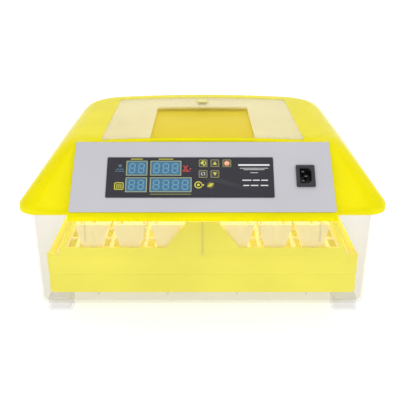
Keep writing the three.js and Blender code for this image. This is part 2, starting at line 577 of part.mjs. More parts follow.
// ---------------------------------------------------------------- inner cover, fan and heater
function innerCover() {
  const { half, floorZ, floorBack, kneeY, kneeZ, topZ } = COVER;
  const slopeIn = BAY.frontY + 5;
  const outline = (inset, reach) => [[slopeIn - reach, floorZ + inset], [floorBack - inset * 1.4, floorZ + inset],
    [kneeY - inset, kneeZ + inset * 0.4], [kneeY - inset, topZ + (reach ? reach : 0)],
    [kneeY - 12 - reach, topZ + (reach ? reach : 0)]].reverse();
  const bar = prismX(outline(0, 0).reverse(), -half, half);
  const hollow = prismX(outline(WALL, 30).reverse(), -half + WALL, half - WALL);
  const clearOfPanel = onPanel(box(-260, 260, -60, 160, -5.5, 80));
  const bay = cut(bar, [hollow, clearOfPanel]);
  const { y0, y1, z0, z1, slot } = FAN_BOX;
  const fanBox = box(-FAN_BOX.half, FAN_BOX.half, y0, y1, z0, z1)
    .subtract(box(-FAN_BOX.half + WALL, FAN_BOX.half - WALL, y0 + WALL, y1 - WALL, z0 - 1, z1 - WALL));
  const airSlots = box(-100, 100, slot.y0, slot.y1, slot.z0, slot.z1);
  const corners = guardScrewPlaces.map(([x, y]) => rod("z", x, y, 4.5, z0, z1 - 1, 10));
  const screwHoles = guardScrewPlaces.map(([x, y]) => rod("z", x, y, SCREW.holeR, z0 - 1, z0 + 14, 10));
  const coverHoles = coverScrewX.map((x) => rod("z", x, COVER_SCREW_Y, SCREW.holeR, floorZ - 1, floorZ + 5, 10));
  const made = join([bay, cut(fanBox, [airSlots]), ...corners]);
  return cut(made, [...screwHoles, ...coverHoles]);
}

const guardScrewPlaces = [[-65, -104], [65, -104], [-65, 85], [65, 85]];

function fanGuard() {
  const { z0, z1, slots, slotIn, slotOut, slotWidth } = GUARD;
  const plate = box(-FAN_BOX.half, FAN_BOX.half, FAN_BOX.y0, FAN_BOX.y1, z0, z1);
  const tools = guardScrewPlaces.map(([x, y]) => rod("z", x, y, SCREW.holeR, z0 - 1, z1 + 1, 10));
  for (let i = 0; i < slots; i++) {
    const slot = box(slotIn, slotOut, -slotWidth / 2, slotWidth / 2, z0 - 1, z1 + 1);
    tools.push(slot.rotate([0, 0, (360 * i) / slots]).translate([0, FAN.y, 0]));
  }
  tools.push(rod("z", SENSOR.x, SENSOR.y, SENSOR.r + GAP, z0 - 1, z1 + 1, 12));
  return cut(plate, tools);
}

function fanFrame() {
  const { y, half, z0, z1, boreR, hubR } = FAN;
  const block = prismZ(roundedRect(-half, half, y - half, y + half, 5), z0, z1, 4);
  const bore = rod("z", 0, y, boreR, z0 - 1, z1 + 1, 24);
  const spokes = join([box(-boreR - 1, boreR + 1, y - 2, y + 2, z0, z0 + 1.8),
    box(-2, 2, y - boreR - 1, y + boreR + 1, z0, z0 + 1.8), rod("z", 0, y, hubR, z0, z0 + 1.8, 12)]);
  const holes = [-1, 1].flatMap((a) => [-1, 1].map((b) => rod("z", a * 35.5, y + b * 35.5, 2.1, z0 - 1, z1 + 1, 8)));
  return cut(block.subtract(bore).add(spokes), holes);
}

function fanRotor() {
  const { y, hubR, bladeR, blades, r0, r1 } = FAN;
  const parts = [rod("z", 0, y, hubR, r0, r1, 16)];
  for (let i = 0; i < blades; i++) {
    const blade = new THREE.BoxGeometry(bladeR - hubR + 2, 1.4, 13);
    blade.rotateX(THREE.MathUtils.degToRad(52));
    blade.translate((bladeR + hubR - 2) / 2, 0, (r0 + r1) / 2);
    blade.rotateZ((2 * Math.PI * i) / blades);
    parts.push(solid(blade.translate(0, y, 0)));
  }
  return join(parts).intersect(rod("z", 0, y, bladeR, r0, r1, 24));
}

function heaterRing() {
  const { r, wire, z } = HEATER;
  return solid(new THREE.TorusGeometry(r, wire, 6, 24).translate(0, FAN.y, z));
}

const SENSOR = { x: 0, y: 55, r: 3.5, z0: 172, z1: 192 };
const heaterPost = (angle) => {
  const place = [HEATER.r * Math.cos(angle), FAN.y + HEATER.r * Math.sin(angle)];
  const top = HEATER.z - HEATER.wire - GAP;
  return rod("z", ...place, 3.5, GUARD.z1 + GAP, top, 10);
};

// ---------------------------------------------------------------- assembly
add("base_tub", baseTub(), material.frosted, incubator);
add("water_tray", waterTray(), material.yellow);
add("floor_grid", floorGrid(), material.white);
add("turner_frame", turnerFrame(), material.yellow);
rackX.forEach((x, i) => {
  add(`egg_rack_${i + 1}`, eggRack(), material.white).position.set(x, 0, RACK.pivotZ);
});
add("link_bar", linkBar(), material.yellow);
add("turner_crank", turnerCrank(), material.white);
add("turner_shaft", rod("y", 0, RACK.pivotZ, CRANK.shaftR, CRANK.y0, MOTOR.y0 + 5.5), material.steel);
add("turner_motor", turnerMotor(), material.steel);
const motorScrewHead = MOTOR.y0 + 1.2 + GAP;
add("motor_screw_left", screwAlongY(-MOTOR.earX, MOTOR.earZ, motorScrewHead, 6), material.steel);
add("motor_screw_right", screwAlongY(MOTOR.earX, MOTOR.earZ, motorScrewHead, 6), material.steel);

add("lid_shell", lidShell(), material.lidYellow);
add("lid_window", lidWindow(), material.clear);
add("vent_cap", ventCap(), material.yellow);
add("control_panel", controlPanel(), material.panel, panelGroup);
add("display_overlay", displayOverlay(), material.overlay, panelGroup);
for (const [name, [x0, x1, t0, t1]] of Object.entries(DISPLAYS)) {
  add(name, box(x0, x1, t0, t1, DISPLAY_BACK, OVERLAY.n1 - 0.3), material.display, panelGroup);
}
for (const [name, place] of Object.entries(KEYS)) {
  add(name, keyBox(place, 0, KEY_SIZE.n0, KEY_SIZE.n1), material.key, panelGroup);
}
add("inlet_socket", inletSocket(), material.black, panelGroup);
const pinX = INLET.x - 3.5;
add("inlet_pin_line", inletPin(pinX, INLET.t + PIN.spread), material.steel, panelGroup);
add("inlet_pin_neutral", inletPin(pinX, INLET.t - PIN.spread), material.steel, panelGroup);
add("inlet_pin_earth", inletPin(pinX + PIN.earthOffset, INLET.t), material.steel, panelGroup);
add("circuit_board", box(BOARD.x0, BOARD.x1, BOARD.t0, BOARD.t1, BOARD.n0, BOARD.n1), material.board, panelGroup);
add("power_supply", box(SUPPLY.x0, SUPPLY.x1, SUPPLY.t0, SUPPLY.t1, SUPPLY.n0, SUPPLY.n1), material.black,
  panelGroup);
add("inner_cover", innerCover(), material.yellow);
coverScrewX.forEach((x, i) => {
  add(`cover_screw_${i + 1}`, screwUp(x, COVER_SCREW_Y, LID.ledge[0] - GAP, 7), material.steel);
});
add("fan_guard", fanGuard(), material.yellow);
guardScrewPlaces.forEach(([x, y], i) => {
  add(`guard_screw_${i + 1}`, screwUp(x, y, GUARD.z0 - GAP, 12), material.steel);
});
add("fan_frame", fanFrame(), material.black);
add("fan_rotor", fanRotor(), material.black);
add("heater_ring", heaterRing(), material.steel);
[45, 135, 225, 315].forEach((degrees, i) => {
  add(`heater_post_${i + 1}`, heaterPost(THREE.MathUtils.degToRad(degrees)), material.ceramic);
});
add("sensor_probe", rod("z", SENSOR.x, SENSOR.y, SENSOR.r, SENSOR.z0, SENSOR.z1, 12), material.white);

export default incubator;
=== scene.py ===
"""Looks of the table-top egg incubator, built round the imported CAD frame. Metres, +X right, +Y back, +Z up."""
import json
import math

import bmesh
import bpy
from mathutils import Matrix, Vector

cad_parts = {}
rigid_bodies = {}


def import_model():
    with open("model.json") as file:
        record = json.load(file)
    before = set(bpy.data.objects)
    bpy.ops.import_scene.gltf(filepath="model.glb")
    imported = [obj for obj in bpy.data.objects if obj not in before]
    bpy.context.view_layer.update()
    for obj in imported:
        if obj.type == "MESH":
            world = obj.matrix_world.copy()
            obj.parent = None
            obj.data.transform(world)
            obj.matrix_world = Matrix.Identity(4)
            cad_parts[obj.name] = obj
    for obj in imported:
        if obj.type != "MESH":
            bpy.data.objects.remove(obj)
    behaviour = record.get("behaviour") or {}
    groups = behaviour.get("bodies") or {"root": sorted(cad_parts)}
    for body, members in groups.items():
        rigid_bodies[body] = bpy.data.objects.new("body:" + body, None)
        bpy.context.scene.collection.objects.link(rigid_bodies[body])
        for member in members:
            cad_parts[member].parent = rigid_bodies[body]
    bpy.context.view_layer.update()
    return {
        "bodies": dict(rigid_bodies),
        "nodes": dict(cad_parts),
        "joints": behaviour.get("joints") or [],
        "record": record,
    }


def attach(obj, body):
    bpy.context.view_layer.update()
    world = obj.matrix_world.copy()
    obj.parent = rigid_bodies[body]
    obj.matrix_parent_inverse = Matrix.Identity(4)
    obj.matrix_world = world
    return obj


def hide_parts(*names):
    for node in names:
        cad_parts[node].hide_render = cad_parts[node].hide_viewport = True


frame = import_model()
nodes = frame["nodes"]
scene = bpy.context.scene
MM = 0.001  # lengths below are millimetres, apart from the camera's, the lights' and the bevels', which are metres
DATUM = 8  # whatever stands in or on the tub is drawn as if the feet stood this much higher, and is raised at the end


# ------------------------------------------------------------------ camera, light and floor
CAMERA_PLACE = (0.0, -1.0965, 0.5006)
CAMERA_LENS = 64.97
LOOKS_DOWN = 19.82  # degrees
AIM = (0, 0, 0.12)
FLOOR_HALF = 9


def softbox(name, place, aim, size, power, tint=(1, 1, 1)):
    light = bpy.data.objects.new(name, bpy.data.lights.new(name, "AREA"))
    light.data.shape = "RECTANGLE"
    light.data.size, light.data.size_y = size
    light.data.energy = power
    light.data.color = tint
    light.visible_camera = False
    light.location = place
    light.rotation_euler = (Vector(aim) - Vector(place)).to_track_quat("-Z", "Y").to_euler()
    scene.collection.objects.link(light)


def set_stage():
    """A soft, even studio: the object stands on a light table, and a lamp stands for the light inside its shell."""
    scene.view_settings.view_transform = "Standard"
    scene.view_settings.look = "None"
    scene.cycles.transparent_max_bounces = 40
    scene.cycles.max_bounces = 14

    camera = bpy.data.objects.new("camera", bpy.data.cameras.new("camera"))
    camera.location = CAMERA_PLACE
    camera.rotation_euler = (math.radians(90 - LOOKS_DOWN), 0, 0)
    camera.data.lens = CAMERA_LENS
    camera.data.sensor_width = 36
    camera.data.clip_start = 0.02
    scene.collection.objects.link(camera)
    scene.camera = camera

    world = bpy.data.worlds.new("studio")
    world.use_nodes = True
    sky = world.node_tree.nodes["Background"]
    sky.inputs["Color"].default_value = (1.0, 0.995, 0.985, 1)
    sky.inputs["Strength"].default_value = 0.93
    scene.world = world

    softbox("key_light", (-1.1, -1.3, 1.7), AIM, (1.2, 0.9), 1.5)
    softbox("fill_light", (1.5, -0.9, 1.1), AIM, (1.0, 1.4), 1.5)
    softbox("front_light", (0, -2.2, 0.25), (0, 0, 0.08), (2.4, 0.45), 4)
    softbox("top_light", (0.1, 0.3, 1.9), (0, 0, 0.15), (1.4, 1.2), 4.5)
    softbox("chamber_light", (0, 0, 0.187), (0, 0.0001, 0), (0.40, 0.30), 0.9, (1, 0.96, 0.84))

    corners = [(x * FLOOR_HALF, y * FLOOR_HALF, 0) for x, y in ((-1, -1), (1, -1), (1, 1), (-1, 1))]
    floor = make_mesh("floor", corners, [(0, 1, 2, 3)])
    floor.data.materials.append(plastic("light_table", (0.38, 0.38, 0.385), 0.7, grain=0.02, speck=0.01, lamp_and_painted_glow=1.9))


# ------------------------------------------------------------------ materials
def plastic(name, color, roughness, grain=0.1, scale=900, speck=0.03, see_through=None, metal=0.0, coat=0.0,
            wear=0.0, streak=0.0, specular=0.5, lamp_and_painted_glow=0.0):
    """A moulded plastic (or metal): uneven colour, uneven gloss, a fine grain and, where asked, worn edges.

    see_through is the share of a surface that hides what is behind it, and the tint of what still gets through.
    The last argument is light that the surface gives off in its own colour: for the floor it is the light table's
    lamp; on the feet, the tray and the racks it is painted light that brightens their shade.
    """
    material = bpy.data.materials.new(name)
    material.use_nodes = True
    tree = material.node_tree
    shader = tree.nodes["Principled BSDF"]
    for socket, value in (("Metallic", metal), ("IOR", 1.46), ("Specular IOR Level", specular),
                          ("Emission Color", (*color, 1)), ("Emission Strength", lamp_and_painted_glow), ("Coat Weight", coat),
                          ("Coat Roughness", 0.08)):
        shader.inputs[socket].default_value = value
    link = tree.links.new

    def node(kind, **values):
        made = tree.nodes.new(kind)
        for key, value in values.items():
            if key in made.inputs:
                made.inputs[key].default_value = value
            else:
                setattr(made, key, value)
        return made

    place = node("ShaderNodeTexCoord").outputs["Object"]
    cloud = node("ShaderNodeTexNoise", Scale=9.0, Detail=4.0, Roughness=0.55)
    link(place, cloud.inputs["Vector"])
    fine = node("ShaderNodeTexNoise", Scale=float(scale), Detail=3.0, Roughness=0.6)
    link(place, fine.inputs["Vector"])

    # colour: broad, faint clouds
    tint = node("ShaderNodeMapRange", **{"From Min": 0.3, "From Max": 0.7, "To Min": 1 - 1.6 * speck,
                                         "To Max": 1 + 0.8 * speck})
    link(cloud.outputs["Fac"], tint.inputs["Value"])
    value = tint.outputs["Result"]
    if streak:
        wave = node("ShaderNodeTexNoise", Scale=2.2, Detail=3.0, Roughness=0.5)
        stretch = node("ShaderNodeMapping", Scale=(40.0, 1.5, 40.0))
        link(place, stretch.inputs["Vector"])
        link(stretch.outputs["Vector"], wave.inputs["Vector"])
        blend = node("ShaderNodeMath", operation="MULTIPLY_ADD")
        blend.inputs[1].default_value = streak
        link(wave.outputs["Fac"], blend.inputs[0])
        link(value, blend.inputs[2])
        value = blend.outputs["Value"]
    hue = node("ShaderNodeHueSaturation")
    hue.inputs["Color"].default_value = (*color, 1)
    link(value, hue.inputs["Value"])
    shade = hue.outputs["Color"]
    if wear:
        corners = node("ShaderNodeNewGeometry").outputs["Pointiness"]
        edge = node("ShaderNodeMapRange", **{"From Min": 0.52, "From Max": 0.6, "To Max": wear})
        link(corners, edge.inputs["Value"])
        rubbed = node("ShaderNodeMix", data_type="RGBA")
        link(edge.outputs["Result"], rubbed.inputs["Factor"])
        link(shade, rubbed.inputs["A"])
        rubbed.inputs["B"].default_value = (*[min(1, c * 1.25 + 0.04) for c in color], 1)
        shade = rubbed.outputs["Result"]
    link(shade, shader.inputs["Base Color"])

    # gloss: duller and shinier patches
    gloss = node("ShaderNodeMapRange", **{"To Min": max(0.02, roughness * 0.8), "To Max": min(1.0, roughness * 1.25)})
    link(cloud.outputs["Fac"], gloss.inputs["Value"])
    link(gloss.outputs["Result"], shader.inputs["Roughness"])

    # grain: a fine moulded texture
    bump = node("ShaderNodeBump", Strength=grain, Distance=0.0006)
    link(fine.outputs["Fac"], bump.inputs["Height"])
    link(bump.outputs["Normal"], shader.inputs["Normal"])
    if see_through:
        opacity, tint = see_through
        clear = node("ShaderNodeBsdfTransparent", Color=(*tint, 1))
        mix = node("ShaderNodeMixShader", Fac=opacity)
        link(clear.outputs["BSDF"], mix.inputs[1])
        link(shader.outputs["BSDF"], mix.inputs[2])
        link(mix.outputs["Shader"], tree.nodes["Material Output"].inputs["Surface"])
    return material


LOOK = {
    "tub": plastic("frosted_tub", (0.93, 0.91, 0.87), 0.32, grain=0.16, scale=700,
                   see_through=(0.06, (0.935, 0.93, 0.922))),
    # painted glow: the feet give off a little light in their own colour, which brightens them where they stand in
    # shade under the tub
    "foot": plastic("frosted_foot", (0.87, 0.86, 0.85), 0.38, grain=0.2, scale=700, lamp_and_painted_glow=0.05,
                    see_through=(0.25, (0.95, 0.95, 0.955))),
    "lid": plastic("lid_yellow", (0.90, 0.845, 0.002), 0.24, grain=0.05, scale=500, speck=0.04, specular=0.08,
                   see_through=(0.68, (1.0, 0.95, 0.24))),
    "window": plastic("window_clear", (0.93, 0.88, 0.45), 0.1, grain=0.02, scale=400, speck=0.02,
                      specular=0.05, see_through=(0.02, (0.99, 0.98, 0.90))),
    "window_frosted": plastic("window_frosted", (0.86, 0.835, 0.645), 0.16, grain=0.06, scale=600, speck=0.03,
                              see_through=(0.5, (0.995, 0.985, 0.93))),
    "window_glued": plastic("window_glued", (0.88, 0.84, 0.10), 0.16, grain=0.06, scale=600, speck=0.03,
                            see_through=(0.6, (0.99, 0.96, 0.4))),
    "gold": plastic("vent_gold", (0.83, 0.76, 0.30), 0.4, grain=0.06, speck=0.04),
    # painted glow: the tray gives off light in its own colour, which lifts its shade
    "tray": plastic("tray_yellow", (0.93, 0.86, 0.012), 0.38, grain=0.12, speck=0.05, specular=0.3, lamp_and_painted_glow=0.13),
    "housing": plastic("housing_yellow", (0.80, 0.65, 0.01), 0.36, grain=0.1, speck=0.04, specular=0.15),
    # painted glow: the racks give off light in their own colour, which lifts their shade inside the tub
    "white": plastic("rack_cream", (0.93, 0.82, 0.42), 0.45, grain=0.12, speck=0.04, specular=0.3, lamp_and_painted_glow=0.18),
    "panel": plastic("panel_grey", (0.51, 0.51, 0.55), 0.42, grain=0.12, scale=1600, speck=0.02),
    "overlay": plastic("overlay_film", (0.024, 0.023, 0.032), 0.34, grain=0.05, scale=1500, speck=0.05, specular=0.35),
    "lcd": plastic("display_blue", (0.03, 0.135, 0.25), 0.16, grain=0.02, coat=0.6, speck=0.04),
    "segment": plastic("display_segment", (0.12, 0.32, 0.46), 0.3, grain=0.02, speck=0.02),
    "key": plastic("key_rubber", (0.05, 0.05, 0.058), 0.45, grain=0.1, speck=0.06),
    "black": plastic("moulded_black", (0.012, 0.012, 0.014), 0.42, grain=0.25, speck=0.2, wear=0.2),
    "bezel": plastic("inlet_bezel", (0.02, 0.02, 0.025), 0.4, grain=0.25, speck=0.1, wear=0.2),
    "pin": plastic("pin_nickel", (0.16, 0.15, 0.14), 0.35, grain=0.1, metal=1.0, speck=0.1),
    "edge": plastic("display_edge", (0.34, 0.40, 0.24), 0.45, grain=0.04),
    "board": plastic("circuit_board", (0.012, 0.13, 0.045), 0.35, grain=0.2, scale=300, speck=0.15),
    "ceramic": plastic("ceramic_white", (0.78, 0.74, 0.66), 0.6, grain=0.3, speck=0.05),
    "steel": plastic("steel_brushed", (0.62, 0.63, 0.65), 0.3, grain=0.2, metal=1.0, speck=0.08, streak=0.1),
    "heater": plastic("heater_steel", (0.40, 0.38, 0.37), 0.36, grain=0.3, metal=1.0, speck=0.2),
}
for key, label, color in (
        ("cream", "print_cream", (0.80, 0.80, 0.55)), ("ink_yellow", "print_yellow", (0.62, 0.60, 0.05)),
        ("ink_white", "print_white", (0.75, 0.75, 0.76)), ("ink_red", "print_red", (0.50, 0.045, 0.04)),
        ("ink_orange", "print_orange", (0.85, 0.32, 0.18)), ("ink_blue", "print_blue", (0.07, 0.16, 0.24)),
        ("ink_olive", "print_dark_olive", (0.10, 0.092, 0.018)), ("ink_dim", "print_olive", (0.27, 0.26, 0.075))):
    LOOK[key] = plastic(label, color, 0.5, grain=0.04)


# ------------------------------------------------------------------ mesh tools
def make_mesh(name, points, faces):
    mesh = bpy.data.meshes.new(name)
    mesh.from_pydata([tuple(p) for p in points], [], faces)
    mesh.update()
    made = bpy.data.objects.new(name, mesh)
    scene.collection.objects.link(made)
    return made


def finish_piece(piece, body, look, stands_for=None, angle=35, lift=DATUM):
    """Shades a piece, gives it its material, raises it to its datum and lets it ride on its body."""
    piece.data.transform(Matrix.Translation((0, 0, lift * MM)))
    piece.data.materials.clear()
    piece.data.materials.append(LOOK[look])
    piece.data.polygons.foreach_set("use_smooth", [True] * len(piece.data.polygons))
    piece.data.set_sharp_from_angle(angle=math.radians(angle))
    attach(piece, body)
    if stands_for:
        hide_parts(stands_for)


def settle(piece):
    """Applies the piece's modifiers to its mesh."""
    graph = bpy.context.evaluated_depsgraph_get()
    mesh = bpy.data.meshes.new_from_object(piece.evaluated_get(graph))
    piece.modifiers.clear()
    old = piece.data
    piece.data = mesh
    bpy.data.meshes.remove(old)


def rounded(piece, width, segments=2, angle=35):
    """Bevels the piece's sharp edges."""
    bevel = piece.modifiers.new("bevel", "BEVEL")
    bevel.width = width
    bevel.segments = segments
    bevel.limit_method = "ANGLE"
    bevel.angle_limit = math.radians(angle)
    bevel.use_clamp_overlap = True
    settle(piece)
    return piece


def combine(piece, tools, operation="DIFFERENCE"):
    """Cuts the tools from the piece, or joins them to it, and removes them."""
    for tool in tools if isinstance(tools, (list, tuple)) else [tools]:
        modifier = piece.modifiers.new("combine", "BOOLEAN")
        modifier.operation = operation
        modifier.solver = "MANIFOLD"
        modifier.object = tool
        settle(piece)
        bpy.data.objects.remove(tool)
    return piece


def joined(name, pieces):
    """One object that holds the meshes of several."""
    made = bmesh.new()
    for piece in pieces:
        piece.data.transform(piece.matrix_world)
        made.from_mesh(piece.data)
        bpy.data.objects.remove(piece)
    mesh = bpy.data.meshes.new(name)
    made.to_mesh(mesh)
    made.free()
    result = bpy.data.objects.new(name, mesh)
    scene.collection.objects.link(result)
    return result


def loft(name, rings, close_ends=True):
    """A closed solid through rings of the same number of points, from the lowest to the highest."""
    n = len(rings[0])
    points = [p for r in rings for p in r]
    faces = []
    for k in range(len(rings) - 1):
        for i in range(n):
            j = (i + 1) % n
            faces.append((k * n + i, k * n + j, (k + 1) * n + j, (k + 1) * n + i))
    if close_ends:
        faces.append(tuple(range(n - 1, -1, -1)))
        faces.append(tuple(range((len(rings) - 1) * n, len(rings) * n)))
    return make_mesh(name, [Vector(p) * MM for p in points], faces)


def right_side_out(piece):
    """Turns every face of a closed piece outwards."""
    held = bmesh.new()
    held.from_mesh(piece.data)
    bmesh.ops.recalc_face_normals(held, faces=held.faces)
    held.to_mesh(piece.data)
    held.free()
    return piece


def prism(name, outline, low, high, axis="z"):
    """A closed prism of a flat outline, along an axis."""
    place = {
        "z": lambda a, b, h: (a, b, h),
        "y": lambda a, b, h: (a, h, b),
        "x": lambda a, b, h: (h, a, b),
    }[axis]
    rings = [[place(a, b, h) for a, b in outline] for h in (low, high)]
    return right_side_out(loft(name, rings))


def block(name, x0, x1, y0, y1, z0, z1):
    return prism(name, [(x0, y0), (x1, y0), (x1, y1), (x0, y1)], z0, z1)


def round_outline(x0, x1, y0, y1, r, steps=8):
    """A rectangle with rounded corners."""
    points = []
    for cx, cy, start in ((x1 - r, y0 + r, -90), (x1 - r, y1 - r, 0), (x0 + r, y1 - r, 90), (x0 + r, y0 + r, 180)):
        for i in range(steps + 1):
            a = math.radians(start + 90 * i / steps)
            points.append((cx + r * math.cos(a), cy + r * math.sin(a)))
    return points


def circle(cx, cy, r, steps=32):
    return [(cx + r * math.cos(2 * math.pi * i / steps), cy + r * math.sin(2 * math.pi * i / steps))
            for i in range(steps)]


def turned(name, profile, place, axis="z", steps=40):
    """A lathe piece. The profile is a list of (radius, height), from one end to the other."""
    rings = [[(x, y, height) for x, y in circle(0, 0, radius, steps)] for radius, height in profile]
    made = right_side_out(loft(name, rings))
    turn = {"z": Matrix.Identity(4), "y": Matrix.Rotation(math.radians(-90), 4, "X")}[axis]
    made.data.transform(Matrix.Translation(Vector(place) * MM) @ turn)
    return made


def ringed(name, rows, outline):
    """A closed solid through copies of an outline that grows and shrinks with height."""
    return right_side_out(loft(name, [[(x, y, z) for x, y in outline(grow)] for z, grow in rows]))


def about(x, y, degrees):
    """A turn about an upright axis through a place."""
    return Matrix.Translation((x * MM, y * MM, 0)) @ Matrix.Rotation(math.radians(degrees), 4, "Z")


# ------------------------------------------------------------------ lid
LID = dict(half=250, front=-183, rear=205.4, corner=28, front_lean=56 / 60, rear_lean=35.4 / 60, bend=(205, 229))
DECK_Z = 232
CROWN = dict(rise=6.5, half=190)
LID_PROFILE = [(1.2, 145), (0.3, 145.7), (0, 147), (0, 153.6), (0.25, 154.8), (0.9, 156.2), (2.4, 158.6),
               (24, 186.2), (46, 214.2), (50, 219), (54, 223), (58.5, 226.6), (63.5, 229.3), (69, 231), (75, 231.8),
               (82, DECK_Z)]  # each is how far in and how high
LID_INSIDE = [(4.0, 140), (4.0, 156.5), (52.2, 217.6), (61.2, 225.6), (66.5, 227.9), (72.2, 228.9), (80.2, 229.1)]
BAY = dict(half=177, half_top=174.4, front=-205, lip=156.25, top_y=-127, top_z=231.45)
SLOPE = math.atan2(BAY["top_z"] - BAY["lip"], BAY["top_y"] - BAY["front"])
PANEL_PLACE = Matrix.Translation(Vector((0, BAY["front"], BAY["lip"])) * MM) @ Matrix.Rotation(SLOPE, 4, "X")
WINDOW = dict(half=139, front=-122, rear=139, thick=2.6)
VENT = dict(y=104, hole=6.5, seat=238.8)


def on_panel(piece):
    """Moves a piece that is drawn flat, with the slope's foot as its origin, onto the panel's slope."""
    piece.data.transform(PANEL_PLACE)
    return piece


def crown(x):
    """How much the deck rises towards its middle."""
    return CROWN["rise"] * (1 - min(1, (x / CROWN["half"]) ** 2))


def lid_ring(run, z, corner):
    """The lid's outline at a height: it bends up with the crown as it nears the deck."""
    front = LID["front"] + run * LID["front_lean"]
    rear = LID["rear"] - run * LID["rear_lean"]
    half = LID["half"] - run
    low, high = LID["bend"]
    share = min(1, max(0, (z - low) / (high - low)))
    bend = share * share * (3 - 2 * share)
    corners = round_outline(-half, half, front, rear, corner, 10)
    points, side_steps = [], 20
    for i, point in enumerate(corners):
        points.append(point)
        following = corners[(i + 1) % len(corners)]
        if abs(following[0] - point[0]) > 60:
            for k in range(1, side_steps):
                s = k / side_steps
                points.append((point[0] + (following[0] - point[0]) * s, point[1] + (following[1] - point[1]) * s))
    return [(x, y, z + bend * crown(x)) for x, y in points]


def crowned_loft(name, rows, corner_shift=0.0):
    """The lid's outer or inner body: its top is filled strip by strip, so that the crown stays smooth."""
    rings = [lid_ring(run, z, LID["corner"] + corner_shift + run / 8) for run, z in rows]
    made = loft(name, rings, close_ends=False)
    held = bmesh.new()
    held.from_mesh(made.data)
    held.verts.ensure_lookup_table()
    n = len(rings[0])
    for first in (0, (len(rings) - 1) * n):
        for strip in strip_pairs([held.verts[first + i] for i in range(n)]):
            different = [v for k, v in enumerate(strip) if v not in strip[:k]]
            if len(different) >= 3:
                held.faces.new(different)
    bmesh.ops.recalc_face_normals(held, faces=held.faces)
    held.to_mesh(made.data)
    held.free()
    return made


def strip_pairs(ring):
    """Pairs the front and rear points of a ring that is the same in front and behind, as strips across Y."""
    n = len(ring)
    left = min(range(n), key=lambda i: (round(ring[i].co.x, 6), ring[i].co.y))
    right = max(range(n), key=lambda i: (round(ring[i].co.x, 6), -ring[i].co.y))
    front = [ring[(left + i) % n] for i in range(((right - left) % n) + 1)]
    back_start = (left - 1) % n
    back = [ring[(back_start - i) % n] for i in range(((back_start - right - 1) % n) + 1)]
    count = min(len(front), len(back))
    return [(front[i], front[i + 1], back[i + 1], back[i]) for i in range(count - 1)]


def make_lid():
    b, wall = BAY, 2.5
    # the outer body, with the slope of the panel's housing
    outside = crowned_loft("lid_shell_look", LID_PROFILE)
    slope_out = [(b["front"] - 40, b["lip"]), (b["front"] - 40, 300), (b["top_y"], 300), (b["top_y"], b["top_z"]),
                 (b["front"], b["lip"])]
    over_slope = prism("over_slope", slope_out, -b["half"], b["half"], "x")
    combine(outside, combine(over_slope, bay_taper(0), "INTERSECT"))
    bay = prism("bay", bay_outline(0), -b["half"], b["half"], "x")
    combine(bay, bay_taper(0), "INTERSECT")
    combine(outside, bay, "UNION")
    # hollow inside
    combine(outside, crowned_loft("lid_inside", LID_INSIDE, -1.5))
    bay_inside = prism("bay_inside", bay_outline(wall), -b["half"] + wall, b["half"] - wall, "x")
    combine(outside, combine(bay_inside, bay_taper(wall), "INTERSECT"))
    # the holes for the window and the panel
    half, front, rear = WINDOW["half"] + 0.3, WINDOW["front"] - 0.3, WINDOW["rear"] + 0.3
    combine(outside, block("window_hole", -half, half, front, rear, 215, 250))
    combine(outside, on_panel(block("panel_hole", -165, 165, 12, 96, -8, 8)))
    # the ledge that rests on the tub's rim, and the rim that reaches down inside it
    throat = round_outline(-228, 228, -174, 196, 22)
    ledge = prism("lid_ledge", round_outline(-247.6, 247.6, -180.6, 203, 26), 150, 152.5)
    combine(ledge, prism("lid_throat", throat, 145, 160))
    rim = prism("lid_rim", round_outline(-229.5, 229.5, -175.5, 197.5, 23.5), 145.5, 151)
    combine(rim, prism("rim_hole", throat, 140, 160))
    combine(ledge, rim, "UNION")
    front = block("ledge_front", -174.4, 174.4, -202.4, -174.2, 150, 152.5)
    combine(ledge, front, "UNION")
    combine(outside, ledge, "UNION")
    rounded(outside, 0.0008, 2, 40)
    finish_piece(outside, "lid", "lid", "lid_shell", 32)


def bay_taper(inset):
    """The housing's width shrinks a little towards its top."""
    low, high = BAY["half"] - inset, BAY["half_top"] - inset
    outline = [(-low, 140), (low, 140), (low, BAY["lip"]), (high, BAY["top_z"]), (high, 300), (-high, 300),
               (-high, BAY["top_z"]), (-low, BAY["lip"])]
    return prism("bay_taper", outline, BAY["front"] - 45, -80, "y")


def bay_outline(inset):
    """The panel housing's cross-section: its inside starts a little lower than its outside, to cut through."""
    front, low, top = BAY["front"] + inset, 144 if inset else 145, BAY["top_z"] - inset * 0.9
    return [(front, low), (front, BAY["lip"] - inset / 3), (BAY["top_y"] + inset / 3, top), (-100, top), (-100, low)]


def make_window():
    """One pane, bent like the deck."""
    steps = 28
    half = WINDOW["half"]
    rings = []
    for y in (WINDOW["front"], WINDOW["rear"]):
        top = [(x, y, DECK_Z + crown(x)) for x in (-half + 2 * half * i / steps for i in range(steps + 1))]
        rings.append([(x, y, z - WINDOW["thick"]) for x, y, z in top] + top[::-1])
    pane = right_side_out(loft("lid_window_look", rings))
    combine(pane, prism("vent_hole", circle(0, VENT["y"], VENT["hole"]), 220, 245))
    rounded(pane, 0.0006, 2, 40)
    # the middle, over the fan box, is polished clear; the rear edge takes the colour of the lid that it is glued to;
    # the rest is frosted
    for look, x, near, far in (("window", 71.5, -130, 62), ("window_glued", 150, 127.5, 140)):
        zone = pane.copy()
        zone.data = pane.data.copy()
        scene.collection.objects.link(zone)
        combine(zone, block("zone", -x, x, near, far, 220, 250), "INTERSECT")
        finish_piece(zone, "lid", look)
        combine(pane, block("zone", -x - 0.05, x + 0.05, near - 0.05, far + 0.05, 220, 250))
    finish_piece(pane, "lid", "window_frosted", "lid_window")


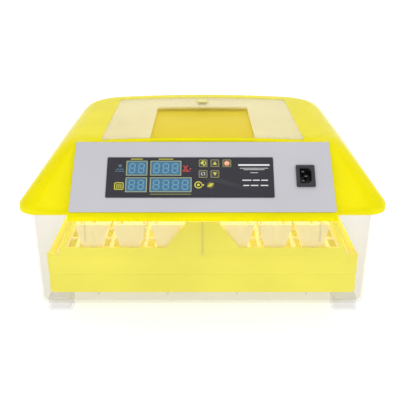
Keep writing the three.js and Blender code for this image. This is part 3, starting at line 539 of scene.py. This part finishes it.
def make_vent():
    seat, y = VENT["seat"], VENT["y"]
    cap = turned("vent_cap_look", [(5.9, seat - 7), (6, seat - 0.4), (9.5, seat - 0.1), (11, seat + 0.1),
                                   (11, seat + 0.9), (10.4, seat + 1.6), (3, seat + 1.8)], (0, y, 0))
    grip = prism("vent_grip", round_outline(-9, 9, y - 1.5, y + 1.5, 1.4, 5), seat + 1, seat + 2.9)
    rounded(grip, 0.0006, 2)
    combine(cap, grip, "UNION")
    finish_piece(cap, "vent", "gold", "vent_cap")


# ------------------------------------------------------------------ control panel, drawn flat
OVERLAY = (-128, 95, 21.8, 82.5)
DISPLAYS = {  # left, right, foot, head and how many figures
    "display_humidity": (-102.2, -73.8, 54.6, 77.2, 2),
    "display_temperature": (-69.9, -28.5, 54.6, 77.2, 3),
    "display_days": (-102.2, -73.8, 29.8, 51.8, 2),
    "display_countdown": (-69.9, -14.6, 29.8, 51.8, 4),
}
KEYS = {"key_turn": (0.8, 73), "key_up": (16.6, 73), "key_power": (32.7, 73), "key_set": (0.8, 56.6),
        "key_down": (16.6, 56.6)}
FILM = 2.7  # the overlay's face, outwards of the housing's slope
KEY_FACE = 3.4
INK = 0.12  # how far the prints on keys and displays stand proud


def make_panel():
    half, half_top, foot, head = 175, 172.4, 1.2, 107.1
    face = prism("control_panel_look", round_outline(-half, half, foot, head, 2.2), 0.3, 1.8)
    side = [(half, 0), (half, foot), (half_top, head), (half_top, head + 0.9)]
    combine(face, prism("panel_sides", side + [(-x, t) for x, t in reversed(side)], 0, 3), "INTERSECT")
    combine(face, block("panel_inlet_hole", 127, 148, 39.8, 68, -1, 3))
    rounded(face, 0.0005, 3)
    finish_piece(on_panel(face), "lid", "panel", "control_panel")

    film = prism("display_overlay_look", round_outline(*OVERLAY, 1.5), 2.1, FILM)
    for name, (x0, x1, t0, t1, _) in DISPLAYS.items():
        combine(film, block("cut", x0 - 0.3, x1 + 0.3, t0 - 0.3, t1 + 0.3, 0, 4))
    for x, t in KEYS.values():
        combine(film, prism("cut", round_outline(x - 6.3, x + 6.3, t - 6.6, t + 6.6, 1.6), 0, 4))
    rounded(film, 0.0002, 2)
    finish_piece(on_panel(film), "lid", "overlay", "display_overlay")


SEGMENTS = (  # the ends of each bar of a figure that is 1 wide and 2 high
    ((0, 2), (1, 2)), ((1, 2), (1, 1)), ((1, 1), (1, 0)), ((0, 0), (1, 0)), ((0, 1), (0, 0)), ((0, 2), (0, 1)),
    ((0, 1), (1, 1)))


def digit_bars(cx, cy, width, height, thick, n):
    """The bars of a seven-bar figure eight, leaning a little to the right."""
    lean, gap = 0.35, 0.25
    bars = []
    for ends in SEGMENTS:
        a, b = (Vector((cx + (x - 0.5) * width + (y - 1) * lean, cy + (y - 1) * height / 2)) for x, y in ends)
        along = (b - a).normalized()
        across = Vector((-along.y, along.x)) * thick / 2
        tip = along * thick / 2
        a, b = a + along * gap, b - along * gap
        outline = [a, a + tip - across, b - tip - across, b, b - tip + across, a + tip + across]
        bars.append(prism("bar", [tuple(p) for p in outline], n, n + INK))
    return bars


def make_displays():
    glass_face = 2.2
    for name, (x0, x1, t0, t1, figures) in DISPLAYS.items():
        glass = prism(f"{name}_look", round_outline(x0 + 1, x1 - 1, t0 + 1, t1 - 1, 0.5, 4), -7.7, glass_face)
        finish_piece(on_panel(glass), "lid", "lcd", name)
        border = prism(f"{name}_border", round_outline(x0, x1, t0, t1, 0.9, 4), 0, 2.6)
        combine(border, block("cut", x0 + 1.1, x1 - 1.1, t0 + 1.1, t1 - 1.1, -1, 4))
        rounded(border, 0.0002, 2)
        finish_piece(on_panel(border), "lid", "edge")
        bars = []
        margin = 2.1
        pitch = (x1 - x0 - 2 * margin) / figures
        for i in range(figures):
            x = x0 + margin + pitch * (i + 0.5)
            bars += digit_bars(x, (t0 + t1) / 2, pitch * 0.56, (t1 - t0) * 0.6, 1.7, glass_face)
        finish_piece(on_panel(joined(f"{name}_figures", bars)), "lid", "segment")


def outline_frame(x0, x1, t0, t1, r, width, n0, n1):
    """A printed frame with rounded corners."""
    made = prism("frame", round_outline(x0, x1, t0, t1, r, 5), n0, n1)
    hole = prism("hole", round_outline(x0 + width, x1 - width, t0 + width, t1 - width, max(0.2, r - width), 5),
                 n0 - 1, n1 + 1)
    return combine(made, hole)


def ring_sector(cx, cy, r0, r1, a0, a1, n0, n1, steps=20):
    """A printed part of a ring, between two angles in degrees."""
    def arc(r, start, end):
        turns = [math.radians(start + (end - start) * i / steps) for i in range(steps + 1)]
        return [(cx + r * math.cos(a), cy + r * math.sin(a)) for a in turns]

    return prism("sector", arc(r1, a0, a1) + arc(r0, a1, a0), n0, n1)


def bar_between(a, b, width, n0, n1):
    """A printed stroke from a to b."""
    a, b = Vector(a), Vector(b)
    side = Vector((-(b - a).y, (b - a).x)).normalized() * width / 2
    return prism("stroke", [tuple(p) for p in (a - side, b - side, b + side, a + side)], n0, n1)


def make_keys():
    """Rubber caps with a printed frame and a pictogram each."""
    n0, n1 = KEY_FACE, KEY_FACE + INK
    for name, (x, t) in KEYS.items():
        cap = prism(f"{name}_look", round_outline(x - 6, x + 6, t - 6.3, t + 6.3, 1.5, 5), -2, KEY_FACE)
        rounded(cap, 0.0003, 2)
        finish_piece(on_panel(cap), name, "key", name)
        frame = outline_frame(x - 5.6, x + 5.6, t - 5.9, t + 5.4, 1.4, 0.9, n0, n1)
        finish_piece(on_panel(frame), name, "ink_dim")
        if name == "key_up":
            marks = [prism("arrow", [(x - 2.6, t - 2.2), (x + 2.6, t - 2.2), (x, t + 2.8)], n0, n1)]
        elif name == "key_down":
            marks = [prism("arrow", [(x - 2.6, t + 2.2), (x, t - 2.8), (x + 2.6, t + 2.2)], n0, n1)]
        elif name == "key_turn":
            marks = [prism("egg", circle(x - 1.2, t + 0.3, 2.1, 20), n0, n1),
                     ring_sector(x, t, 2.9, 4.0, -60, 120, n0, n1),
                     prism("arrow", [(x - 0.4, t - 2.0), (x + 3.0, t - 1.6), (x + 0.6, t - 4.6)], n0, n1)]
        elif name == "key_set":
            marks = [ring_sector(x, t, 1.9, 2.6, start, start + 140, n0, n1) for start in (-60, 120)]
        else:
            disc = prism(f"{name}_disc", circle(x, t - 0.3, 3.7), n0, n1)
            finish_piece(on_panel(disc), name, "ink_orange")
            n2 = n1 + 0.08
            marks = [ring_sector(x, t - 0.3, 1.3, 1.9, -50, 230, n1, n2),
                     bar_between((x, t), (x, t + 2.3), 0.6, n1, n2)]
        tint = {"key_power": "cream", "key_set": "ink_white"}.get(name, "ink_yellow")
        finish_piece(on_panel(joined(f"{name}_print", marks)), name, tint)


def make_prints():
    """Printed marks on the overlay: small pictograms and rules, and no words."""
    n0, n1 = FILM, FILM + 0.1

    def put(name, pieces, look):
        finish_piece(on_panel(joined(name, pieces)), "lid", look)

    def rule(x0, x1, t, width):
        return bar_between((x0, t), (x1, t), width, n0, n1)

    def disc(x, t, r, steps, low=n0, high=n1):
        return prism("disc", circle(x, t, r, steps), low, high)

    # rules over two displays, and a rounded box with dots in it: the days
    yellow = [rule(-96.5, -80.5, 79.6, 1.1), rule(-59, -39.5, 79.6, 1.1)]
    yellow += [outline_frame(-117, -104.5, 33.2, 44.2, 2, 1.0, n0, n1), rule(-114.5, -107, 40.3, 0.9)]
    yellow += [disc(x, t, 0.75, 12) for x in (-113.5, -110.7, -107.9) for t in (36.1, 38.3)]
    # an egg that turns, and a striped egg
    yellow += [ring_sector(-5.4, 40.4, 3.9, 5.3, 20, 340, n0, n1, 28), disc(-5.4, 40.4, 1.9, 20)]
    yellow.append(prism("arrow", [(-1.6, 41.4), (2.6, 41.4), (0.5, 38.2)], n0, n1))
    yellow += [bar_between((8.6 + s, 37.6), (12.6 + s, 42.8), 1.3, n0 + 0.02, n1 + 0.02) for s in (-1.9, 0, 1.9)]
    put("marks_yellow", yellow, "ink_yellow")
    put("grounds_olive", [prism("box", round_outline(-116.4, -105.1, 33.8, 43.6, 1.5), n0, n0 + 0.03),
                          disc(10.6, 40.2, 4.9, 32, n0, n0 + 0.04)], "ink_olive")
    put("mark_dim", [rule(-69, -15, 26.6, 1.0)], "ink_dim")
    # a thermometer's warning
    red = [bar_between((-26, 61), (-20, 70), 1.6, n0, n1), bar_between((-20, 61.5), (-25.4, 69.5), 1.6, n0, n1),
           rule(-26.5, -16.5, 61, 1.3), disc(-16.2, 64.5, 1.2, 14)]
    put("marks_red", red, "ink_red")
    # water drops over a line: the humidity
    blue = [disc(-110.5, 69.3, 2.2, 16), ring_sector(-113.5, 62.4, 1.6, 2.6, 0, 180, n0, n1),
            rule(-117, -105, 60.8, 1.0), ring_sector(-108, 62.4, 1.6, 2.6, 0, 180, n0, n1)]
    put("marks_blue", blue, "ink_blue")
    # plain rules where a label would be
    white = [rule(48, 90, 70.5, 2.4)]
    white += [rule(x0, x1, t, 0.7) for x0, x1, t in ((50, 88, 65.6), (55, 83, 63.4), (64, 74, 58.8))]
    white += [rule(x0, x1, 47.4, 1.5) for x0, x1 in ((53, 65), (67, 76), (78, 87))]
    white += [rule(x0, x1, 39.6, 1.5) for x0, x1 in ((54, 62), (64, 74), (77, 87))]
    put("marks_white", white, "ink_white")


def make_inlet():
    """The mains inlet: a bezel, a six-sided mouth and three flat pins."""
    x, t = 137.5, 53.9
    bezel = prism("inlet_socket_look", round_outline(x - 12.5, x + 12.5, t - 16.2, t + 16.2, 1.6), 2.1, 4.1)
    body = block("inlet_body", x - 10.2, x + 10.2, t - 13.8, t + 13.8, -22, 2.6)
    combine(bezel, body, "UNION")
    w, h, c = 8.5, 12.1, 4.5
    mouth = [(x - w, t - h), (x + w - c, t - h), (x + w, t - h + c), (x + w, t + h - c), (x + w - c, t + h),
             (x - w, t + h)]
    combine(bezel, prism("mouth", mouth, -10.9, 6))
    rounded(bezel, 0.0004, 3)
    finish_piece(on_panel(bezel), "lid", "bezel", "inlet_socket")
    # painted shade: a darker lining in the mouth stands for the shade deep in the socket, so that the socket reads
    # deeper than its bezel
    painted_shade = prism("inlet_painted_shade", [((a - x) * 0.985 + x, (b - t) * 0.985 + t) for a, b in mouth], -10.8, 3.9)
    combine(painted_shade, prism("painted_shade_hole", [((a - x) * 0.9 + x, (b - t) * 0.92 + t) for a, b in mouth], -10.2, 6))
    finish_piece(on_panel(painted_shade), "lid", "black")
    for name, a, b in (("inlet_pin_line", x - 3.5, t + 7), ("inlet_pin_neutral", x - 3.5, t - 7),
                       ("inlet_pin_earth", x + 0.5, t)):
        pin = block(f"{name}_look", a - 2, a + 2, b - 1, b + 1, -10.6, 2.1)
        rounded(pin, 0.0005, 3)
        finish_piece(on_panel(pin), "lid", "pin", name)


# ------------------------------------------------------------------ tub and tray
TUB = dict(low=15, high=153, half=228.5, front=-171, rear=193, corner=16)  # its widths are those at the bottom
FEET_Y = (-150, 172)


def tub_ring(z, grow):
    """The tub's outline at a height. Towards its top it widens by 4.7 at each side and by 8 in front and behind."""
    s = (z - TUB["low"]) / (TUB["high"] - TUB["low"])
    half = TUB["half"] + 4.7 * s + grow
    outline = round_outline(-half, half, TUB["front"] - 8 * s - grow, TUB["rear"] + 8 * s + grow,
                            TUB["corner"] + 4 * s + grow, 12)
    return [(x, y, z) for x, y in outline]


def foot_outline(x, y, inset, corner, steps):
    half_x, half_y = 17.5 - inset, 15 - inset
    return round_outline(x - half_x, x + half_x, y - half_y, y + half_y, corner, steps)


def make_tub():
    # heights, and how much the wall stands out there
    outside = [(15, -3.2), (15.2, -2), (15.8, -1.1), (16.8, -0.45), (18.2, -0.1), (20, 0), (141, 0),
               (141.6, 0.35), (142.4, 1.05), (143, 1.2), (156.9, 1.2), (157.5, 0.9), (157.7, 0.3)]
    inside = [(18, -5.8), (18.3, -4.4), (19.2, -3.4), (20.8, -2.8), (23, -2.5), (157.3, -2.5), (158.5, -1.6)]
    shell = right_side_out(loft("base_tub_look", [tub_ring(z, grow) for z, grow in outside]))
    combine(shell, right_side_out(loft("tub_hollow", [tub_ring(z, grow) for z, grow in inside])))
    finish_piece(shell, "base", "tub", "base_tub", 40, lift=0)
    feet = []
    for x in (-203, 203):
        for y in FEET_Y:
            made = ringed("foot", ((0, 1.6), (0.5, 0.7), (1.6, 0), (14.6, 0), (17.2, -0.2)),
                          lambda inset: foot_outline(x, y, inset, 7, 6))
            feet.append(combine(made, prism("foot_hollow", foot_outline(x, y, 3.5, 4, 5), 3, 20)))
    finish_piece(joined("tub_feet", feet), "base", "foot", None, 40, lift=0)
    # ribs on the floor, and faint ones inside the front wall
    ribs = [rounded(block("rib", x - 1, x + 1, *FEET_Y, 17.8, 29.6), 0.0005) for x in (-150, -50, 50, 150)]
    for x, y, low in ((-160, -175.2, 112), (160, -175.2, 112), (-78, -175, 112), (78, -175, 112), (0, -174, 92)):
        ribs.append(rounded(block("front_rib", x - 1.4, x + 1.4, y - 2, y + 1.2, low, 141), 0.0006))
    finish_piece(joined("tub_ribs", ribs), "base", "tub", None, 40, lift=0)


def make_tray():
    """A tray with a step and a moulded line round it, two water channels and the grid's four posts."""
    def wall(grow):
        return round_outline(-217 - grow, 217 + grow, -167.3 - grow, 189.3 + grow, 8 + grow, 8)

    # heights, and how much the wall stands out there
    outside = ((22, -2), (22.6, -1), (24, -0.7), (49.4, -0.7), (49.7, -1.4), (50.5, -1.4), (50.8, -0.7), (51.5, -0.7),
               (52.6, 0), (77.4, 0), (78, -0.4))
    inside = ((24.2, -5), (24.9, -3.6), (26.5, -2.9), (52, -2.9), (53.1, -2.2), (79, -2.2))
    tray = ringed("water_tray_look", outside, wall)
    combine(tray, ringed("tray_hollow", inside, wall))
    for side in (-1, 1):
        x0, x1 = sorted((side * 24, side * 196))
        channel = prism("channel", round_outline(x0, x1, -140, 160, 6), 24, 40.2)
        combine(channel, prism("trench", round_outline(x0 + 2, x1 - 2, -138, 158, 4.5), 24.1, 45))
        for k in range(1, 4):
            x = x0 + (x1 - x0) * k / 4
            shift = 12 if k % 2 else -12
            combine(channel, block("baffle", x - 0.8, x + 0.8, -126 + shift, 146 + shift, 23.9, 34), "UNION")
        combine(tray, channel, "UNION")
    for x in (-205, 205):
        for y in (-145, 172):
            post = turned("post", [(4.6, 23.8), (4, 26), (3.8, 63.6), (3.2, 64.6)], (x, y, 0), steps=20)
            combine(tray, post, "UNION")
    rounded(tray, 0.0004, 2, 50)
    finish_piece(tray, "base", "tray", "water_tray", 40)


def make_grid():
    grid = prism("floor_grid_look", round_outline(-211, 211, -161, 183, 8), 65, 68)
    columns, half = 24, 201
    holes = []
    for i in range(columns):
        x = -half + 2 * half / columns * (i + 0.5)
        for y in (-150, -112, -74, -36, 22, 60, 98, 136):
            holes.append(prism("slot", round_outline(x - 5.6, x + 5.6, y + 1.5, y + 35, 3, 4), 64, 69))
    combine(grid, joined("grid_slots", holes))
    rounded(grid, 0.0003, 1)
    finish_piece(grid, "base", "white", "floor_grid")


# ------------------------------------------------------------------ egg turner
RACK_X = (-152, -100, -48, 48, 100, 152)
PIVOT_Z = 86
CELLS = 8  # eggs in a rack
END_WALL = 2.5


def rack_outline(inset, lift=0.0):
    """A rack's cross-section about its pivot."""
    return [(-11 + inset, -7 + inset), (11 - inset, -7 + inset), (23 - inset + lift / 3, 38 + lift),
            (-23 + inset - lift / 3, 38 + lift)]


def make_racks():
    """One openwork trough with a cell for each egg, drawn about its pivot and used six times."""
    front, rear = -164.7, 164
    rack = prism("rack", rack_outline(0), front, rear, "y")
    combine(rack, prism("rack_hollow", rack_outline(2, 1), front + END_WALL, rear - END_WALL, "y"))
    first, pitch = front + END_WALL / 2, (rear - front - END_WALL) / CELLS
    slots = []
    for i in range(CELLS):
        y = first + pitch * (i + 0.5)
        slots.append(prism("side_slot", round_outline(y - 14.5, y + 14.5, 14, 31, 6), -40, 40, "x"))
        slots.append(prism("side_slot", round_outline(y - 13, y + 13, -1.5, 8, 3), -40, 40, "x"))
        slots += [prism("floor_slot", round_outline(x - 2.2, x + 2.2, y - 13, y + 13, 2), -9, -3) for x in (-5, 5)]
    combine(rack, slots)
    # a divider between two eggs: notched at its top, and a web with a round seat at its foot
    for i in range(1, CELLS):
        y = first + pitch * i
        rib = prism("divider", rack_outline(0.6), y - 0.8, y + 0.8, "y")
        combine(rib, prism("cup", [(-9, -5), (9, -5), (19.5, 39), (-19.5, 39)], y - 2, y + 2, "y"))
        web = prism("web", [(-9.5, -5.5), (9.5, -5.5), (14, 12), (-14, 12)], y - 0.8, y + 0.8, "y")
        combine(web, prism("web_cup", circle(0, 15, 12.5, 32), y - 2, y + 2, "y"))
        combine(rack, [rib, web], "UNION")
    lip = prism("rack_rim", rack_outline(-0.001), front, rear, "y")
    combine(lip, prism("rack_rim_hole", rack_outline(2.6, 1), front + 3.2, rear - 3.2, "y"))
    combine(lip, block("rack_rim_cut", -30, 30, front - 2, rear + 2, -20, 34.5))
    trunnions = [prism("trunnion", circle(0, 0, 4, 28), low, high, "y")
                 for low, high in ((front - 5.6, front + 1), (rear - 1, 176.9))]
    lever_pin = prism("lever_pin", circle(0, 22, 3, 24), rear - 1, 169.8, "y")
    grip = prism("grip", round_outline(-2.2, 2.2, 8, 38, 1), front - 1.2, front + 0.6, "y")
    combine(rack, [lip, *trunnions, lever_pin, grip], "UNION")
    rounded(rack, 0.0004, 1, 50)
    finish_piece(rack, "rack_1", "white", lift=DATUM + PIVOT_Z)
    shape = rack.data
    bpy.data.objects.remove(rack)
    for i, x in enumerate(RACK_X):
        copy = bpy.data.objects.new(f"egg_rack_{i + 1}_look", shape)
        copy.location.x = x * MM
        scene.collection.objects.link(copy)
        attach(copy, f"rack_{i + 1}")
        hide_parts(f"egg_rack_{i + 1}")


def refined(name, body, look, width, segments=2):
    """A piece with its CAD shape, flat faces merged and edges softened."""
    mesh = nodes[name].data.copy()
    piece = bpy.data.objects.new(f"{name}_look", mesh)
    scene.collection.objects.link(piece)
    held = bmesh.new()
    held.from_mesh(mesh)
    bmesh.ops.remove_doubles(held, verts=held.verts, dist=1e-6)
    bmesh.ops.dissolve_limit(held, angle_limit=math.radians(0.5), verts=held.verts, edges=held.edges)
    held.to_mesh(mesh)
    held.free()
    rounded(piece, width, segments)
    finish_piece(piece, body, look, name, lift=0)


def screw(node, body, seat, axis, length):
    """A pan-head screw with a cross recess. seat is the underside of its head; axis is where the head points."""
    profile = [(1.4, -length), (1.4, 0), (2.9, 0), (3, 0.3), (2.85, 1.1), (2.3, 1.7), (1.2, 2)]
    made = turned(f"{node}_look", profile, (0, 0, 0), steps=28)
    for across, along in ((0.4, 1.7), (1.7, 0.4)):
        combine(made, block("recess", -across, across, -along, along, 0.9, 3))
    made.data.transform(Vector((0, 0, 1)).rotation_difference(Vector(axis)).to_matrix().to_4x4())
    made.data.transform(Matrix.Translation(Vector(seat) * MM))
    finish_piece(made, body, "steel", node)


def make_turner():
    refined("turner_frame", "base", "tray", 0.0004)
    refined("link_bar", "link", "tray", 0.0005)
    refined("turner_crank", "crank", "white", 0.0004)
    shaft = turned("turner_shaft_look", [(2.5, 170.2), (3, 170.7), (3, 181.6), (2.7, 182.5), (2.2, 182.6)],
                   (0, 0, PIVOT_Z), "y", 28)
    combine(shaft, block("flat", -4, 4, 170, 173.2, 88.4, 92))
    finish_piece(shaft, "crank", "steel", "turner_shaft")

    can = [(7, 177.1), (22.6, 177.1), (23.7, 177.6), (24, 178.4), (24, 186.8), (23.5, 188.2), (22.2, 189), (17, 189),
           (16, 188.5), (5, 188.5)]
    motor = turned("turner_motor_look", can, (0, 0, 103.5), "y", 56)
    ears = prism("ears", round_outline(-36, 36, 101, 111, 4.9, 8), 177.1, 178.3, "y")
    combine(motor, ears, "UNION")
    combine(motor, [prism("ear_hole", circle(x, 106, 1.8, 20), 176, 180, "y") for x in (-31, 31)])
    combine(motor, prism("bush", circle(0, PIVOT_Z, 3.3, 28), 176, 183.2, "y"))
    rounded(motor, 0.0003, 2)
    finish_piece(motor, "base", "steel", "turner_motor")
    for name, x in (("motor_screw_left", -31), ("motor_screw_right", 31)):
        screw(name, "base", (x, 178.6, 106), (0, 1, 0), 6)


# ------------------------------------------------------------------ fan, heater and electronics
FAN_Y = -20


def fan_blade(start):
    """A cambered blade that flattens and sweeps forward towards its tip."""
    chord, camber, middle_z, half_height, steps = 7.2, 0.9, 204.6, 5.1, 6
    section = ((-chord, 0.25), (-3, 0.75), (3, 0.75), (chord, 0.25), (chord, -0.25), (3, -0.75), (-3, -0.75),
               (-chord, -0.25))
    rows = []
    for i in range(steps + 1):
        s = i / steps
        radius = 14 + 21.2 * s
        lean = math.radians(34 + 26 * s)
        sweep = 0.1 * s * s
        ring = []
        for along, off in section:
            off += camber - camber * (along / chord) ** 2
            u = along * math.sin(lean) + off * math.cos(lean)
            v = along * math.cos(lean) * 0.72 - off * math.sin(lean) * 0.72
            a = start + sweep + u / max(radius, 16)
            height = middle_z + max(-half_height, min(half_height, v))
            ring.append((radius * math.cos(a), FAN_Y + radius * math.sin(a), height))
        rows.append(ring)
    return right_side_out(loft("blade", rows))


def make_fan():
    """An 80 mm axial fan: a waisted square frame, a collar, four spokes and a rotor with twisted blades."""
    half, z0, z1, bore, blades = 40, 197, 212, 37, 7
    housing = prism("fan_frame_look", round_outline(-half, half, FAN_Y - half, FAN_Y + half, 5), z0, z1)
    combine(housing, prism("bore", circle(0, FAN_Y, bore, 72), z0 - 1, z1 + 1))
    combine(housing, [prism("corner_hole", circle(x, FAN_Y + y, 2.1, 20), z0 - 1, z1 + 1)
                      for x in (-35.5, 35.5) for y in (-35.5, 35.5)])
    combine(housing, prism("waist", round_outline(-41, 41, FAN_Y - 29, FAN_Y + 29, 0.5), 200.5, 208.5))
    collar = prism("collar", circle(0, FAN_Y, bore + 1.6, 72), z0, z1)
    combine(collar, prism("bore", circle(0, FAN_Y, bore, 72), z0 - 1, z1 + 1))
    combine(housing, collar, "UNION")
    for turn in range(4):
        spoke = block("spoke", 10, 38, -1.6, 1.6, z0, z0 + 1.8)
        spoke.data.transform(about(0, FAN_Y, 20 + 90 * turn))
        combine(housing, spoke, "UNION")
    combine(housing, prism("motor_seat", circle(0, FAN_Y, 15, 48), z0, z0 + 1.8), "UNION")
    rounded(housing, 0.0003, 1)
    finish_piece(housing, "lid", "black", "fan_frame")

    hub = turned("fan_rotor_look", [(14.6, 199.3), (15, 199.8), (15, 208.6), (14.2, 209.7), (12.8, 210), (4, 210)],
                 (0, FAN_Y, 0), steps=56)
    for k in range(blades):
        combine(hub, fan_blade(2 * math.pi * k / blades), "UNION")
    finish_piece(hub, "fan", "black", "fan_rotor", 30)

    refined("fan_guard", "lid", "housing", 0.0003)
    refined("inner_cover", "lid", "housing", 0.0006, 3)
    for i, (x, y) in enumerate(((-65, -104), (65, -104), (-65, 85), (65, 85))):
        screw(f"guard_screw_{i + 1}", "lid", (x, y, 180.9), (0, 0, -1), 12)
    for i, x in enumerate((-150, -50, 50, 150)):
        screw(f"cover_screw_{i + 1}", "lid", (x, -190, 149.7), (0, 0, -1), 7)


def closed_tube(name, points, sides):
    """Skins rings of points, one after the other and back to the first."""
    count = len(points) // sides
    faces = []
    for i in range(count):
        j = (i + 1) % count
        for k in range(sides):
            m = (k + 1) % sides
            faces.append((i * sides + k, i * sides + m, j * sides + m, j * sides + k))
    return right_side_out(make_mesh(name, [p * MM for p in points], faces))


def make_heater():
    """A round heater: a wire wound about a thin core, held by four ceramic posts."""
    turns, per_turn, sides = 76, 10, 5
    count = turns * per_turn
    radius, z, coil_radius, wire_radius, core_radius = 48, 190.5, 1.45, 0.62, 0.8

    def centre(i):
        a = 2 * math.pi * i / count
        b = 2 * math.pi * i / per_turn
        reach = radius + coil_radius * math.cos(b)
        return Vector((reach * math.cos(a), FAN_Y + reach * math.sin(a), z + coil_radius * math.sin(b)))

    points = []
    for i in range(count):
        here = centre(i)
        along = (centre(i + 1) - centre(i - 1)).normalized()
        side = along.cross(Vector((0, 0, 1))).normalized()
        up = side.cross(along)
        for k in range(sides):
            c = 2 * math.pi * k / sides
            points.append(here + (side * math.cos(c) + up * math.sin(c)) * wire_radius)
    coil = closed_tube("heater_coil", points, sides)
    section = circle(radius, z, core_radius, 12)
    core = closed_tube("heater_core", [Vector((r * x, FAN_Y + r * y, h)) for x, y in circle(0, 0, 1, 72)
                                       for r, h in section], 12)
    finish_piece(coil, "lid", "heater", "heater_ring", 60)
    finish_piece(core, "lid", "ceramic", None, 60)
    for i, degrees in enumerate((45, 135, 225, 315)):
        a = math.radians(degrees)
        place = (radius * math.cos(a), FAN_Y + radius * math.sin(a), 0)
        post = turned(f"heater_post_{i + 1}_look", [(2.9, 184), (3.5, 184.5), (3.5, 185.4), (2.7, 186), (3.3, 186.7),
                                                    (3.3, 187.5), (2.8, 188)], place, steps=28)
        finish_piece(post, "lid", "ceramic", f"heater_post_{i + 1}")

    probe_y = 55
    probe = turned("sensor_probe_look", [(2, 172), (3.1, 172.6), (3.5, 173.8), (3.5, 190.8), (3.1, 192), (1, 192)],
                   (0, probe_y, 0), steps=32)
    for k in range(6):
        slot = block("probe_slot", 2, 5, -0.6, 0.6, 174.5, 180.5)
        slot.data.transform(about(0, probe_y, 60 * k))
        combine(probe, slot)
    finish_piece(probe, "lid", "white", "sensor_probe")


def make_electronics():
    """What stands behind the panel: the circuit board with its parts, and the power supply."""
    board = prism("circuit_board_look", round_outline(-134, 104, 18, 88, 3), -9.6, -8)
    combine(board, [prism("board_hole", circle(x, t, 1.8, 20), -11, -7) for t in (23, 83) for x in (-129, 99)])
    finish_piece(on_panel(board), "lid", "board", "circuit_board")
    chips = [rounded(block("chip", x, x + w, t, t + h, -11.4, -9.5), 0.0002) for x, t, w, h in
             ((-96, 40, 14, 14), (-60, 56, 8, 5), (-40, 34, 10, 6), (-8, 50, 12, 8), (-110, 70, 6, 5), (10, 28, 7, 9))]
    chips.append(rounded(block("connector", -124, -104, 26, 34, -15, -9.5), 0.0003))
    chips.append(rounded(block("relay", -30, -12, 62, 78, -17, -9.5), 0.0005))
    finish_piece(on_panel(joined("board_chips", chips)), "lid", "black")
    cans = []
    for x, t, r, h in ((-80, 74, 4, 9), (-66, 74, 4, 9), (14, 74, 3, 7), (-118, 50, 3, 7)):
        profile = [(r - 0.5, -9.5 - h), (r, -9 - h), (r, -10.6), (r - 0.4, -10.2), (r, -9.6)]
        cans.append(turned("capacitor", profile, (x, t, 0), steps=24))
    finish_piece(on_panel(joined("board_capacitors", cans)), "lid", "steel")

    supply = prism("power_supply_look", round_outline(30, 90, 38, 78, 1.5), -23.5, -9.9)
    for k in range(9):
        x = 36 + 6 * k
        combine(supply, prism("vent", round_outline(x - 1, x + 1, 44, 72, 0.9, 4), -24, -22.2))
    rounded(supply, 0.0006, 2)
    finish_piece(on_panel(supply), "lid", "black", "power_supply")


# ------------------------------------------------------------------ run
for make in (set_stage, make_lid, make_window, make_vent, make_panel, make_displays, make_keys, make_prints,
             make_inlet, make_tub, make_tray, make_grid, make_racks, make_turner, make_fan, make_heater,
             make_electronics):
    make()
